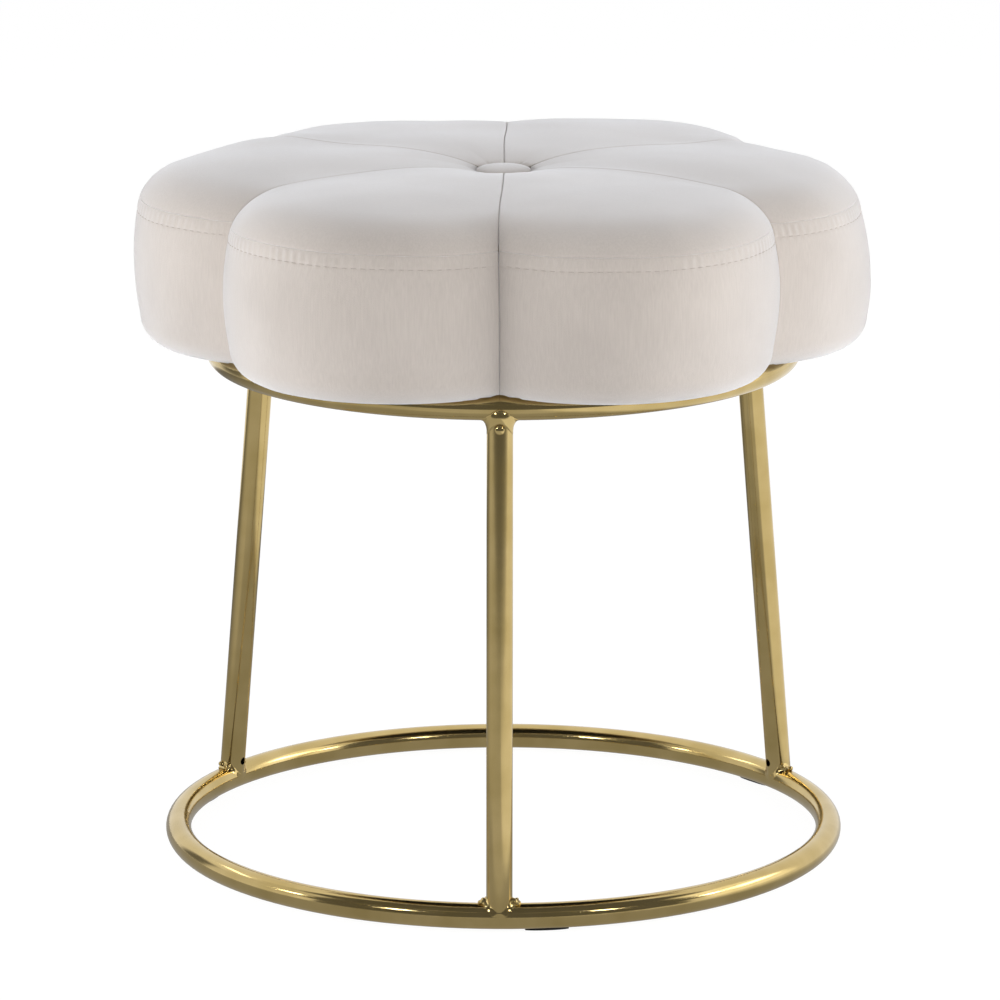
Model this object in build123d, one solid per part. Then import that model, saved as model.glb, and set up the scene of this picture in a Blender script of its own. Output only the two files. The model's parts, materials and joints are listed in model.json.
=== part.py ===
from build123d import *
import os
from math import asin, cos, degrees, hypot, pi, radians, sin, sqrt, tan

# Vanity stool: a tufted cushion of six petals on a welded frame of two tube rings and
# three legs. Millimetres. The origin is on the floor, on the stool's upright axis, and
# +Z is up. The front leg stands on the -Y side, below a valley between two petals.

# Steel tube of the frame
tube_diameter = 16.0
tube_wall = 1.2
floor_ring_radius = 208.0
seat_ring_radius = 179.0
ring_spacing = 310.0
leg_count = 3
front_angle = -90.0
cope_gap = 0.2

# Drain hole that lets the plating bath out of each leg, on its inner side
vent_diameter = 5.0
vent_height = 12.5

# Weld metal round the legs
foot_bead = 3.4
head_toe = 7.0
head_throat = 4.5
head_rise = 6.0

# Glide pads under the floor ring
glide_thickness = 1.0
glide_width = 10.0
glide_height = 2.4
glide_length = 28.0
glide_turn = 8.0

# Petals of the cushion, seen from above
petal_count = 6
petal_centre_radius = 125.0
petal_radius = 106.7

# Heights of the cushion above the top of the seat ring
lip_drop = 2.8
belly_rise = 46.0
seam_rise = 89.0
crown_rise = 114.5

# Curves of a petal's side, from its underside to its crown
corner_radius = 17.4
corner_inset = 3.3
seam_inset = 4.9
shoulder_radius = 35.0
shoulder_lean = 27.0

# Dish that the tufting pulls into the middle
dish_depth = 13.0
dish_power = 3.2
dish_section_shares = (0.04, 0.15, 0.32, 0.6, 1.0)

# Cover of velvet, and the foam under it. Insets run inwards from the seat ring's centreline.
cover_thickness = 1.4
cover_ease = 0.3
flange_inset = 19.0
ring_recess_gap = 1.2

# Plywood seat board
board_thickness = 12.0
board_inset = 14.0
board_valley_fillet = 6.0
board_hub_margin = 5.0
board_pocket_gap = 0.3

# Tufting button and the nylon tie that holds it down
button_diameter = 35.0
button_rim = 1.2
button_dome = 2.8
button_shank_diameter = 5.0
button_shank_length = 2.2
tie_diameter = 2.6
tie_head_diameter = 8.0
tie_head_thickness = 1.2
tie_hole_diameter = 4.0
anchor_diameter = 22.0
anchor_thickness = 1.2
anchor_recess_gap = 0.6

# Non-woven dust cover and its staples
dust_cover_thickness = 0.4
dust_cover_inset = 11.0
staple_count = 18
staple_inset = 15.0
staple_crown = 10.0
staple_leg = 6.0
staple_wire = 0.9
staple_slot_gap = 0.1

# Tabs inside the seat ring, and the screws that hold the seat on them
tab_thickness = 3.0
tab_width = 25.0
tab_bead = 2.2
screw_inset = 29.0
screw_hole_diameter = 7.0
screw_diameter = 6.0
screw_length = 20.0
screw_head_diameter = 10.5
screw_head_height = 3.3
screw_head_rim_share = 0.45
screw_head_arch_share = 0.8
screw_socket_size = 4.0
screw_socket_depth = 2.0
washer_diameter = 14.0
washer_thickness = 1.2
spring_washer_diameter = 11.0
spring_washer_thickness = 1.6
spring_washer_slit = 0.8
spring_washer_lean = 20.0
screw_fit_gap = 0.2

# Tee nuts pressed into the top of the seat board
tee_nut_diameter = 8.0
tee_nut_length = 9.0
tee_nut_flange_diameter = 19.0
tee_nut_flange_thickness = 1.2
tee_nut_prong_count = 4
tee_nut_prong_length = 5.0
tee_nut_prong_width = 3.0
tee_nut_prong_radius = 8.2
tee_nut_gap = 0.15

# Every cut runs past what it cuts by this much
overrun = 5.0

# Worked out from the sizes above
tube_radius = tube_diameter / 2
floor_ring_z = glide_thickness + tube_radius
seat_ring_z = floor_ring_z + ring_spacing
seat_plane = seat_ring_z + tube_radius
lip_z = seat_plane - lip_drop
belly_z = seat_plane + belly_rise
seam_z = seat_plane + seam_rise
crown_z = seat_plane + crown_rise
board_z = seat_plane + cover_thickness
board_top = board_z + board_thickness
dust_cover_z = seat_plane - dust_cover_thickness
tab_z = dust_cover_z - tab_thickness
flat_washer_z = tab_z - washer_thickness
spring_washer_z = flat_washer_z - spring_washer_thickness
screw_head_z = spring_washer_z - screw_head_height
tie_z = board_z + anchor_recess_gap
anchor_z = tie_z + tie_head_thickness
anchor_top = anchor_z + anchor_thickness
ring_recess_radius = seat_ring_radius + tube_radius + ring_recess_gap
flange_inner_radius = seat_ring_radius - flange_inset
dust_cover_radius = seat_ring_radius - dust_cover_inset
staple_circle_radius = seat_ring_radius - staple_inset
screw_circle_radius = seat_ring_radius - screw_inset
board_hub_radius = screw_circle_radius + tee_nut_flange_diameter / 2 + board_hub_margin
cushion_reach = petal_centre_radius + petal_radius
half_petal = 180 / petal_count
tab_angle = front_angle + 180 / leg_count

# How boxes and cylinders stand on the point where they are placed
standing = (Align.CENTER, Align.CENTER, Align.MIN)
hanging = (Align.CENTER, Align.CENTER, Align.MAX)
from_axis = (Align.MIN, Align.CENTER, Align.CENTER)


def around(shape, count, first_angle):
    """Copies of a shape, drawn on the +X side, evenly spaced round the axis."""
    return [Rot(0, 0, first_angle + index * 360 / count) * shape for index in range(count)]


def group(shapes):
    """One group that holds every solid of the shapes."""
    return Compound([solid for shape in shapes for solid in shape.solids()])


def disc(radius, low, high):
    """Upright cylinder on the stool's axis between two heights."""
    return Pos(0, 0, low) * Cylinder(radius, high - low, align=standing)


# Frame


def ring_solid(radius, height, growth):
    """Solid ring of the tube's own section, grown by a clearance, and closed on the -X side."""
    return Pos(0, 0, height) * Rot(0, 0, 180) * Torus(radius, tube_radius + growth)


def tube_ring(radius, height):
    """Hollow ring of tube, rolled and closed."""
    return ring_solid(radius, height, 0) - ring_solid(radius, height, -tube_wall)


def leg_run():
    """Length of a leg's axis between the two centrelines."""
    return hypot(ring_spacing, floor_ring_radius - seat_ring_radius)


def leg_plane():
    """Plane across a leg at its foot, with its normal up the leg and its X outwards."""
    inset = floor_ring_radius - seat_ring_radius
    foot = Vector(floor_ring_radius, 0, floor_ring_z)
    return Plane(origin=foot, x_dir=(ring_spacing, 0, inset), z_dir=(-inset, 0, ring_spacing))


def leg_bar(growth, low, high):
    """Round bar along a leg's axis, from one distance up it to another."""
    bar = Cylinder(tube_radius + growth, high - low, align=standing)
    return leg_plane() * (Pos(0, 0, low) * bar)


def leg_solid():
    """Leg on the +X side: a tube coped at both ends to the rings, with its drain hole."""
    tube = leg_bar(0, 0, leg_run()) - leg_bar(-tube_wall, -overrun, leg_run() + overrun)
    tube -= ring_solid(floor_ring_radius, floor_ring_z, cope_gap)
    tube -= ring_solid(seat_ring_radius, seat_ring_z, cope_gap)
    drill = Rot(0, -90, 0) * Cylinder(vent_diameter / 2, tube_radius + overrun, align=standing)
    return tube - leg_plane() * (Pos(0, 0, vent_height) * drill)


def foot_weld_solid():
    """Bead that follows the saddle where a leg stands on the floor ring."""
    top = tube_diameter + foot_bead
    bead = leg_bar(foot_bead, 0, top) - leg_bar(cope_gap, -overrun, top + overrun)
    bead &= ring_solid(floor_ring_radius, floor_ring_z, foot_bead)
    return bead - ring_solid(floor_ring_radius, floor_ring_z, cope_gap)


def head_weld_solid():
    """Wide, hollow-faced fillet where a leg meets the underside of the seat ring."""
    top = leg_run()
    low = top - tube_radius - head_rise
    start = (tube_radius + cope_gap / 2, low)
    toe = (tube_radius + head_toe, top - tube_radius + head_throat)
    middle = (tube_radius + head_toe / 4, top - tube_radius - head_rise / 4)
    outline = ThreePointArc(start, middle, toe)
    outline += Polyline(toe, (toe[0], top), (0, top), (0, low), start)
    skirt = leg_plane() * revolve(Plane.XZ * make_face(outline), Axis.Z)
    skirt -= leg_bar(cope_gap, -overrun, top + overrun)
    skirt &= ring_solid(seat_ring_radius, seat_ring_z, head_rise)
    return skirt - ring_solid(seat_ring_radius, seat_ring_z, cope_gap)


def glide_solid():
    """Rubber pad near the +X side, flat below and hollowed to the floor ring above."""
    sweep = degrees(glide_length / floor_ring_radius)
    section = Pos(floor_ring_radius, glide_height / 2) * Rectangle(glide_width, glide_height)
    pad = revolve(Rot(0, 0, glide_turn - sweep / 2) * (Plane.XZ * section), Axis.Z, sweep)
    return pad - ring_solid(floor_ring_radius, floor_ring_z, 0)


def tab_solid(growth):
    """Tab on the +X side, coped to the inside of the seat ring, with a round inner end."""
    reach = seat_ring_radius - screw_circle_radius
    outline = Pos(screw_circle_radius + reach / 2, 0) * Rectangle(reach, tab_width + 2 * growth)
    outline += Pos(screw_circle_radius, 0) * Circle(tab_width / 2 + growth)
    outline -= Pos(screw_circle_radius, 0) * Circle(screw_hole_diameter / 2)
    tab = extrude(Pos(0, 0, tab_z - growth) * outline, tab_thickness + 2 * growth)
    return tab - ring_solid(seat_ring_radius, seat_ring_z, cope_gap)


def tab_weld_solid():
    """Bead below a tab, in the corner that it makes with the seat ring."""
    drop = seat_ring_z - tab_z
    corner = seat_ring_radius - sqrt(tube_radius**2 - drop**2)
    bead = Rot(90, 0, 0) * Cylinder(tab_bead, tab_width - 2 * tab_bead)
    bead = Pos(corner, 0, tab_z) * bead
    return bead - tab_solid(cope_gap) - ring_solid(seat_ring_radius, seat_ring_z, cope_gap)


# Cushion


def sector(low, high):
    """Block of one petal's share of the round, between the upright planes of its seams."""
    reach = 2 * cushion_reach
    half_width = reach * tan(radians(half_petal))
    outline = Polyline((0, 0), (reach, -half_width), (reach, half_width), close=True)
    return extrude(Pos(0, 0, low) * make_face(outline), high - low)


def shoulder_centre():
    """Centre of the shoulder's curve, in the upright section of a petal."""
    lean = radians(shoulder_lean)
    end = Vector(petal_radius - seam_inset, seam_z)
    return end - Vector(shoulder_radius * cos(lean), shoulder_radius * sin(lean))


def crown_radius():
    """Radius of the crown's curve, level at the middle and tangent to the shoulder."""
    centre = shoulder_centre()
    rise = crown_z - centre.Y
    return (centre.X**2 + rise**2 - shoulder_radius**2) / (2 * (rise - shoulder_radius))


def arc_points(centre, radius, start, end):
    """Start, middle and end of an arc, its turns in radians from the outer side."""
    turns = (start, (start + end) / 2, end)
    return [(centre.X + radius * cos(turn), centre.Y + radius * sin(turn)) for turn in turns]


def petal_section(skin):
    """Half of a petal's upright section, from its own axis outwards, drawn in by a skin."""
    shoulder = shoulder_centre()
    corner = Vector(petal_radius - corner_inset - corner_radius, lip_z + corner_radius)
    crown = Vector(0, crown_z - crown_radius())
    blend = asin((shoulder.Y - crown.Y) / (crown_radius() - shoulder_radius))
    low = arc_points(corner, corner_radius - skin, -pi / 2, 0)
    side = arc_points(shoulder, shoulder_radius - skin, radians(shoulder_lean), blend)
    top = arc_points(crown, crown_radius() - skin, blend, pi / 2)
    edges = ThreePointArc(*low) + ThreePointArc(low[2], (petal_radius - skin, belly_z), side[0])
    edges += ThreePointArc(*side) + ThreePointArc(*top)
    edges += Polyline(top[2], (0, lip_z + skin), low[0])
    return Plane.XZ * make_face(edges)


def dished_crown(distance):
    """Height of a petal's crest at a distance from the stool's axis."""
    return crown_z - dish_depth * (1 - distance / petal_centre_radius) ** dish_power


def dish_section(distance, skin):
    """Upright section across a petal's inner end, arched between its two seams."""
    half_width = distance * tan(radians(half_petal))
    crest = dished_crown(distance) - skin
    bend = crown_radius() - skin
    edge = crest - bend + sqrt(bend**2 - half_width**2)
    low = seat_plane + skin
    outline = Polyline((-half_width, edge), (-half_width, low), (half_width, low), (half_width, edge))
    outline += ThreePointArc((half_width, edge), (0, crest), (-half_width, edge))
    across = Plane(origin=(distance, 0, 0), x_dir=(0, 1, 0), z_dir=(1, 0, 0))
    return across * make_face(outline)


def petal_solid(skin):
    """Petal on the +X side, between its seams, drawn in by a skin and seated on the ring."""
    round_end = revolve(Rot(0, 0, -90) * petal_section(skin), Axis.Z, 180)
    round_end = (Pos(petal_centre_radius, 0, 0) * round_end) & sector(lip_z - overrun, crown_z + overrun)
    round_end -= disc(ring_recess_radius + skin, lip_z - overrun, seat_plane + skin)
    stations = [share * petal_centre_radius for share in dish_section_shares]
    return round_end + loft([dish_section(station, skin) for station in stations])


def cover_panels():
    """Top panel and side panel of the +X petal, which meet at the seam."""
    shell = petal_solid(0) - petal_solid(cover_thickness)
    shell -= disc(flange_inner_radius, seat_plane - overrun, board_z + overrun)
    above = shell & disc(2 * cushion_reach, seam_z, crown_z + overrun)
    below = shell & disc(2 * cushion_reach, lip_z - overrun, seam_z)
    for staple in around(staple_solid(staple_slot_gap), staple_count, 0):
        below -= staple
    return above, below


def petal_places(shape):
    """Six copies of a shape from the +X side, one for each petal."""
    return around(shape, petal_count, front_angle + half_petal)


def board_outline(inset):
    """Outline of six rounded petals, drawn in from the cushion's own."""
    outline = Circle(board_hub_radius)
    for petal in petal_places(Pos(petal_centre_radius, 0) * Circle(petal_radius - inset)):
        outline += petal
    reach = cushion_reach - inset - board_valley_fillet
    valleys = [corner for corner in outline.vertices() if hypot(corner.X, corner.Y) < reach]
    return fillet(valleys, board_valley_fillet)


def seat_board_solid():
    """Plywood board with holes for the tee nuts, the staples and the tie's anchor."""
    board = extrude(Pos(0, 0, board_z) * board_outline(board_inset), board_thickness)
    hole = screw_column(tee_nut_diameter, board_z - overrun, board_top)
    cuts = [anchor_recess()] + screw_places(tee_nut_solid(tee_nut_gap) + hole)
    cuts += around(staple_solid(staple_slot_gap), staple_count, 0)
    return board - cuts


def foam_solid():
    """Foam of six petals in one piece, with pockets for the board and what stands on it."""
    skin = cover_thickness + cover_ease
    core_radius = dish_section_shares[0] * petal_centre_radius / cos(radians(half_petal))
    foam = disc(core_radius, seat_plane + skin, dished_crown(core_radius) - skin)
    for petal in petal_places(petal_solid(skin)):
        foam += petal
    outline = board_outline(board_inset - board_pocket_gap)
    foam -= extrude(Pos(0, 0, lip_z - overrun) * outline, board_top - lip_z + overrun)
    foam -= disc(tie_hole_diameter / 2, board_z, crown_z)
    return foam - screw_places(tee_nut_solid(board_pocket_gap))


# Tufting


def button_seat():
    """Height of the button's flat underside, on the dished cover."""
    return dished_crown(button_diameter / 2) + cover_ease


def button_solid():
    """Covered button: a low dome on a rounded rim, with a shank below."""
    seat = button_seat()
    rim = (button_diameter - button_rim) / 2
    dome_radius = (rim**2 + button_dome**2) / (2 * button_dome)
    centre = Vector(0, seat + button_rim + button_dome - dome_radius)
    dome = arc_points(centre, dome_radius, pi / 2 - asin(rim / dome_radius), pi / 2)
    outline = ThreePointArc(*dome) + Polyline(dome[2], (0, seat), (rim, seat))
    outline += ThreePointArc((rim, seat), (button_diameter / 2, seat + button_rim / 2), dome[0])
    dome = revolve(Plane.XZ * make_face(outline), Axis.Z)
    return dome + disc(button_shank_diameter / 2, seat - button_shank_length, seat)


def tie_solid():
    """Nylon tie from the button's shank down to its own flat head below the anchor."""
    head = disc(tie_head_diameter / 2, tie_z, tie_z + tie_head_thickness)
    return head + disc(tie_diameter / 2, tie_z, button_seat() - button_shank_length)


def anchor_solid():
    """Steel washer under the board, which carries the tie's head."""
    hole_radius = tie_diameter / 2 + screw_fit_gap
    return disc(anchor_diameter / 2, anchor_z, anchor_top) - disc(hole_radius, tie_z, board_top)


def anchor_recess():
    """Hole through the board for the tie, with a recess below for its anchor."""
    recess = disc(anchor_diameter / 2 + screw_fit_gap, board_z - overrun, anchor_top)
    return recess + disc(tie_hole_diameter / 2, board_z, board_top + overrun)


# Fasteners and dust cover


def screw_places(shape):
    """Three copies of a shape from the +X side, one above each tab."""
    return around(shape, leg_count, tab_angle)


def screw_column(diameter, low, high):
    """Upright cylinder on the axis of the +X side's screw."""
    return Pos(screw_circle_radius, 0, 0) * disc(diameter / 2, low, high)


def tee_nut_solid(growth):
    """Tee nut of the +X side, grown by a clearance: flange on the board, prongs in the wood."""
    flange_top = board_top + tee_nut_flange_thickness + growth
    nut = disc(tee_nut_flange_diameter / 2 + growth, board_top, flange_top)
    nut += disc(tee_nut_diameter / 2 + growth, board_top - tee_nut_length - growth, board_top)
    width = tee_nut_prong_width + 2 * growth
    depth = tee_nut_flange_thickness + 2 * growth
    prong = Box(depth, width, tee_nut_prong_length + growth, align=hanging)
    for part in around(Pos(tee_nut_prong_radius, 0, board_top) * prong, tee_nut_prong_count, 0):
        nut += part
    return Pos(screw_circle_radius, 0, 0) * nut


def tee_nut():
    """Tee nut of the +X side, bored for its screw."""
    bore = screw_column(screw_diameter + screw_fit_gap, board_z, board_top + overrun)
    return tee_nut_solid(0) - bore


def screw_solid():
    """Button-head socket screw of the +X side, up through the tab into the tee nut."""
    head_radius = screw_head_diameter / 2
    rim = head_radius * screw_head_rim_share
    outline = Polyline((0, screw_head_z), (rim, screw_head_z))
    arch = (head_radius * screw_head_arch_share, screw_head_z + screw_head_height * screw_head_rim_share)
    outline += ThreePointArc((rim, screw_head_z), arch, (head_radius, spring_washer_z))
    outline += Polyline((head_radius, spring_washer_z), (0, spring_washer_z), (0, screw_head_z))
    screw = revolve(Plane.XZ * make_face(outline), Axis.Z)
    screw += disc(screw_diameter / 2, spring_washer_z, spring_washer_z + screw_length)
    socket = RegularPolygon(screw_socket_size / 2, 6, major_radius=False)
    screw -= extrude(Pos(0, 0, screw_head_z) * socket, screw_socket_depth)
    return Pos(screw_circle_radius, 0, 0) * screw


def flat_washer_solid():
    """Flat washer below the +X side's tab."""
    washer = screw_column(washer_diameter, flat_washer_z, tab_z)
    return washer - screw_column(screw_diameter + 2 * screw_fit_gap, spring_washer_z, board_z)


def spring_washer_solid():
    """Split spring washer between the +X side's screw head and its flat washer."""
    washer = screw_column(spring_washer_diameter, spring_washer_z, flat_washer_z)
    washer -= screw_column(screw_diameter + 2 * screw_fit_gap, screw_head_z, board_z)
    slit = Box(spring_washer_diameter, spring_washer_slit, 2 * spring_washer_diameter, align=from_axis)
    slit = Pos(screw_circle_radius, 0, spring_washer_z) * Rot(spring_washer_lean, 0, 0) * slit
    return washer - slit


def staple_solid(growth):
    """Staple of the +X side, its crown under the dust cover and its legs up in the board."""
    wire = staple_wire + 2 * growth
    crown = Box(wire, staple_crown + 2 * growth, staple_wire + growth, align=hanging)
    leg = Box(wire, wire, board_z - dust_cover_z + staple_leg + growth, align=standing)
    half_crown = (staple_crown - staple_wire) / 2
    staple = crown + Pos(0, half_crown, 0) * leg + Pos(0, -half_crown, 0) * leg
    return Pos(staple_circle_radius, 0, dust_cover_z) * staple


def dust_cover_solid():
    """Black cloth under the board, pierced by the screws and the staples."""
    cloth = disc(dust_cover_radius, dust_cover_z, seat_plane)
    cuts = screw_places(screw_column(screw_hole_diameter, tab_z, board_z))
    return cloth - cuts - around(staple_solid(staple_slot_gap), staple_count, 0)


def stool():
    """Every sub-part, by the name of its file."""
    names = {"floor_ring": tube_ring(floor_ring_radius, floor_ring_z)}
    names["seat_ring"] = tube_ring(seat_ring_radius, seat_ring_z)
    legs = around(leg_solid(), leg_count, front_angle)
    for place, leg in zip(("front", "rear_right", "rear_left"), legs):
        names["leg_" + place] = leg
    names["foot_welds"] = group(around(foot_weld_solid(), leg_count, front_angle))
    names["head_welds"] = group(around(head_weld_solid(), leg_count, front_angle))
    names["glide_pads"] = group(around(glide_solid(), leg_count, front_angle))
    for place, tab in zip(("right", "rear", "left"), screw_places(tab_solid(0))):
        names["mounting_tab_" + place] = tab
    names["tab_welds"] = group(screw_places(tab_weld_solid()))
    names["seat_screws"] = group(screw_places(screw_solid()))
    names["spring_washers"] = group(screw_places(spring_washer_solid()))
    names["flat_washers"] = group(screw_places(flat_washer_solid()))
    names["tee_nuts"] = group(screw_places(tee_nut()))
    names["seat_board"] = seat_board_solid()
    names["foam_pad"] = foam_solid()
    top_panel, side_panel = cover_panels()
    panels = zip(petal_places(top_panel), petal_places(side_panel))
    for number, (above, below) in enumerate(panels, start=1):
        names[f"top_panel_{number}"] = above
        names[f"side_panel_{number}"] = below
    names["tuft_button"] = button_solid()
    names["button_tie"] = tie_solid()
    names["tie_anchor"] = anchor_solid()
    names["dust_cover"] = dust_cover_solid()
    names["staples"] = group(around(staple_solid(0), staple_count, 0))
    return names


os.makedirs("parts", exist_ok=True)
for name, shape in stool().items():
    export_step(shape, f"parts/{name}.step")
    print(name, len(shape.solids()), round(shape.volume))
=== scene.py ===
"""Vanity stool: a tufted velvet cushion of six petals on a brass-plated tube frame.

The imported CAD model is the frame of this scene. Its metal, wood and cloth nodes stay and
get their finishes here. The soft nodes and the weld beads are replaced by pieces modelled
on the same sizes. Sizes are in millimetres and become metres when a mesh is made.
"""

import json
import logging
import math
from dataclasses import dataclass, field
from random import Random
from typing import Callable, Iterable

import bmesh
import bpy
from bmesh.types import BMEdge, BMesh, BMVert
from mathutils import Matrix, Vector, noise

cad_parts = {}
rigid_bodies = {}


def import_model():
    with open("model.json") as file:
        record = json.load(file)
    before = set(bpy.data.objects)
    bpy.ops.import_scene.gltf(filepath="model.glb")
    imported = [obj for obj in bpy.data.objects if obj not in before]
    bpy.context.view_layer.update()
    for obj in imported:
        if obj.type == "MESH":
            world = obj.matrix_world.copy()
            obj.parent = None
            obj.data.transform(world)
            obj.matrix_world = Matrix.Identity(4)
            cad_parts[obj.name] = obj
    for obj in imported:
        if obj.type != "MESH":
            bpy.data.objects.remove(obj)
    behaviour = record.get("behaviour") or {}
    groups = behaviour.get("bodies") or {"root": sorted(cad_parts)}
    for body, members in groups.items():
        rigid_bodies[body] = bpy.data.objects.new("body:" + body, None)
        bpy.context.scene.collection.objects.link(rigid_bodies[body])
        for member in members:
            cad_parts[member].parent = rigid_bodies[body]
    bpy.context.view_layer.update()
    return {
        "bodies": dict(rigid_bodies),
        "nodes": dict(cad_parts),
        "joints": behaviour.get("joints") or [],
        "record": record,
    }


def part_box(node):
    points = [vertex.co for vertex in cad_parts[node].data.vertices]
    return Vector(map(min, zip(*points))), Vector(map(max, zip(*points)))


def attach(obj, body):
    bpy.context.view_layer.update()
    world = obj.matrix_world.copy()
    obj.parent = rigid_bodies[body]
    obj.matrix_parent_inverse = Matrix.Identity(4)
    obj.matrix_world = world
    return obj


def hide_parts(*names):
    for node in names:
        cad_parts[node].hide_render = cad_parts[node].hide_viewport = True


MM = 0.001
FULL_TURN = 2 * math.pi
BODY = "root"

log = logging.getLogger("stool")

Frame = dict
Placement = Callable[[float, float], Vector]


def smooth_step(low: float, high: float, value: float) -> float:
    """Gives 0 below low, 1 above high, and an even ease between them."""
    share = min(max((value - low) / (high - low), 0.0), 1.0)
    return share * share * (3 - 2 * share)


def hump(centre: float, width: float, value: float) -> float:
    """Gives a round hump of height 1 about a centre."""
    return math.exp(-(((value - centre) / width) ** 2))


def spaced(start: float, end: float, step: float) -> list[float]:
    """Even stations from start up to, and without, end, about a step apart."""
    count = max(1, round((end - start) / step))
    return [start + (end - start) * index / count for index in range(count)]


# Finishes


def linear(colour: str) -> tuple[float, float, float, float]:
    """Turns an sRGB hex colour into the linear colour that a shader takes.

    Args:
        colour: six hex digits after a hash.

    Returns:
        Linear red, green and blue, and an alpha of 1.
    """
    channels = [int(colour[at : at + 2], 16) / 255 for at in (1, 3, 5)]
    red, green, blue = (
        value / 12.92 if value <= 0.04045 else ((value + 0.055) / 1.055) ** 2.4 for value in channels
    )
    return red, green, blue, 1.0


def add_node(
    tree: bpy.types.NodeTree,
    kind: str,
    settings: dict | None = None,
    links: dict | None = None,
) -> bpy.types.Node:
    """Adds a shader node with its settings and its links.

    Args:
        tree: node tree that gets the node.
        kind: Blender's name for the node's type.
        settings: values by input name or number, or by the node's own property.
        links: output sockets by the name or number of the input that they feed.

    Returns:
        The new node.
    """
    node = tree.nodes.new(kind)
    for name, value in (settings or {}).items():
        if isinstance(name, int) or name in node.inputs:
            node.inputs[name].default_value = value
        else:
            setattr(node, name, value)
    for name, socket in (links or {}).items():
        tree.links.new(socket, node.inputs[name])
    return node


def blend_colours(
    tree: bpy.types.NodeTree, share: bpy.types.NodeSocket, first: str, second: str
) -> bpy.types.NodeSocket:
    """Mixes two hex colours by a socket that runs from 0 to 1."""
    settings = {"data_type": "RGBA", 6: linear(first), 7: linear(second)}
    return add_node(tree, "ShaderNodeMix", settings, {0: share}).outputs[2]


def remap(
    tree: bpy.types.NodeTree, value: bpy.types.NodeSocket, low: float, high: float, ends: tuple[float, float]
) -> bpy.types.NodeSocket:
    """Stretches the range from low to high of a socket to two end values."""
    settings = {"From Min": low, "From Max": high, "To Min": ends[0], "To Max": ends[1]}
    return add_node(tree, "ShaderNodeMapRange", settings, {"Value": value}).outputs["Result"]


def noise_at(
    tree: bpy.types.NodeTree, grain: float, stretch: Vector = Vector((1, 1, 1)), detail: float = 2.0
) -> bpy.types.NodeSocket:
    """Noise on the piece's own coordinates.

    Args:
        tree: node tree that gets the nodes.
        grain: size of one blot, in millimetres.
        stretch: how many times longer a blot is along each axis.
        detail: octaves of finer noise.

    Returns:
        The noise's value socket.
    """
    place = add_node(tree, "ShaderNodeTexCoord").outputs["Object"]
    shrink = Vector((1 / stretch.x, 1 / stretch.y, 1 / stretch.z))
    place = add_node(tree, "ShaderNodeMapping", {"Scale": shrink}, {"Vector": place}).outputs[0]
    settings = {"Scale": 1 / (grain * MM), "Detail": detail}
    return add_node(tree, "ShaderNodeTexNoise", settings, {"Vector": place}).outputs["Fac"]


@dataclass(frozen=True)
class Finish:
    """What every finish shares: a real material's name and how glossy its surface is."""

    name: str
    roughness: float

    def material(self) -> bpy.types.Material:
        """Makes the material, or gives the one that is already made."""
        made = bpy.data.materials.get(self.name)
        if made:
            return made
        made = bpy.data.materials.new(self.name)
        made.use_nodes = True
        tree = made.node_tree
        surface = tree.nodes["Principled BSDF"]
        surface.inputs["Roughness"].default_value = self.roughness
        self.dress(tree, surface)
        return made

    def dress(self, tree: bpy.types.NodeTree, surface: bpy.types.Node) -> None:
        """Sets colour, texture and sheen on the material's shader."""
        raise NotImplementedError

    def raise_grain(
        self, tree: bpy.types.NodeTree, surface: bpy.types.Node, height: bpy.types.NodeSocket, depth: float
    ) -> None:
        """Lets a pattern stand out of the surface by a depth in millimetres."""
        bump = add_node(tree, "ShaderNodeBump", {"Distance": depth * MM}, {"Height": height})
        tree.links.new(bump.outputs["Normal"], surface.inputs["Normal"])


@dataclass(frozen=True)
class Velvet(Finish):
    """Short-pile polyester velvet, ivory, woven and brushed downwards.

    The pile scatters light at grazing angles, which is its pale sheen, and shows faint
    upright streaks and soft patches where it has been stroked.
    """

    name: str = "polyester_velvet"
    roughness: float = 0.86
    stroked: str = "#BAAFA5"
    standing: str = "#C9BEB4"
    sheen: float = 1.0
    sheen_tint: str = "#F8FAFF"
    sheen_roughness: float = 0.68
    patch_size: float = 60.0
    streak_width: float = 0.9
    streak_stretch: float = 16.0
    pile_grain: float = 0.55
    pile_depth: float = 0.16

    def dress(self, tree: bpy.types.NodeTree, surface: bpy.types.Node) -> None:
        """Mixes stroked and standing pile, and raises the pile's fine grain."""
        patches = remap(tree, noise_at(tree, self.patch_size), 0.3, 0.7, (0.1, 0.75))
        streaks = noise_at(tree, self.streak_width, Vector((1, 1, self.streak_stretch)), 1.0)
        lean = remap(tree, streaks, 0.25, 0.75, (-0.28, 0.28))
        share = add_node(tree, "ShaderNodeMath", {"operation": "ADD", "use_clamp": True}, {0: patches, 1: lean})
        colour = blend_colours(tree, share.outputs[0], self.stroked, self.standing)
        tree.links.new(colour, surface.inputs["Base Color"])
        surface.inputs["Sheen Weight"].default_value = self.sheen
        surface.inputs["Sheen Tint"].default_value = linear(self.sheen_tint)
        surface.inputs["Sheen Roughness"].default_value = self.sheen_roughness
        surface.inputs["Specular IOR Level"].default_value = 0.15
        # Real pile is a tenth of a millimetre thick; this grain is coarser so that it shows.
        self.raise_grain(tree, surface, noise_at(tree, self.pile_grain, detail=3.0), self.pile_depth)


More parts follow.
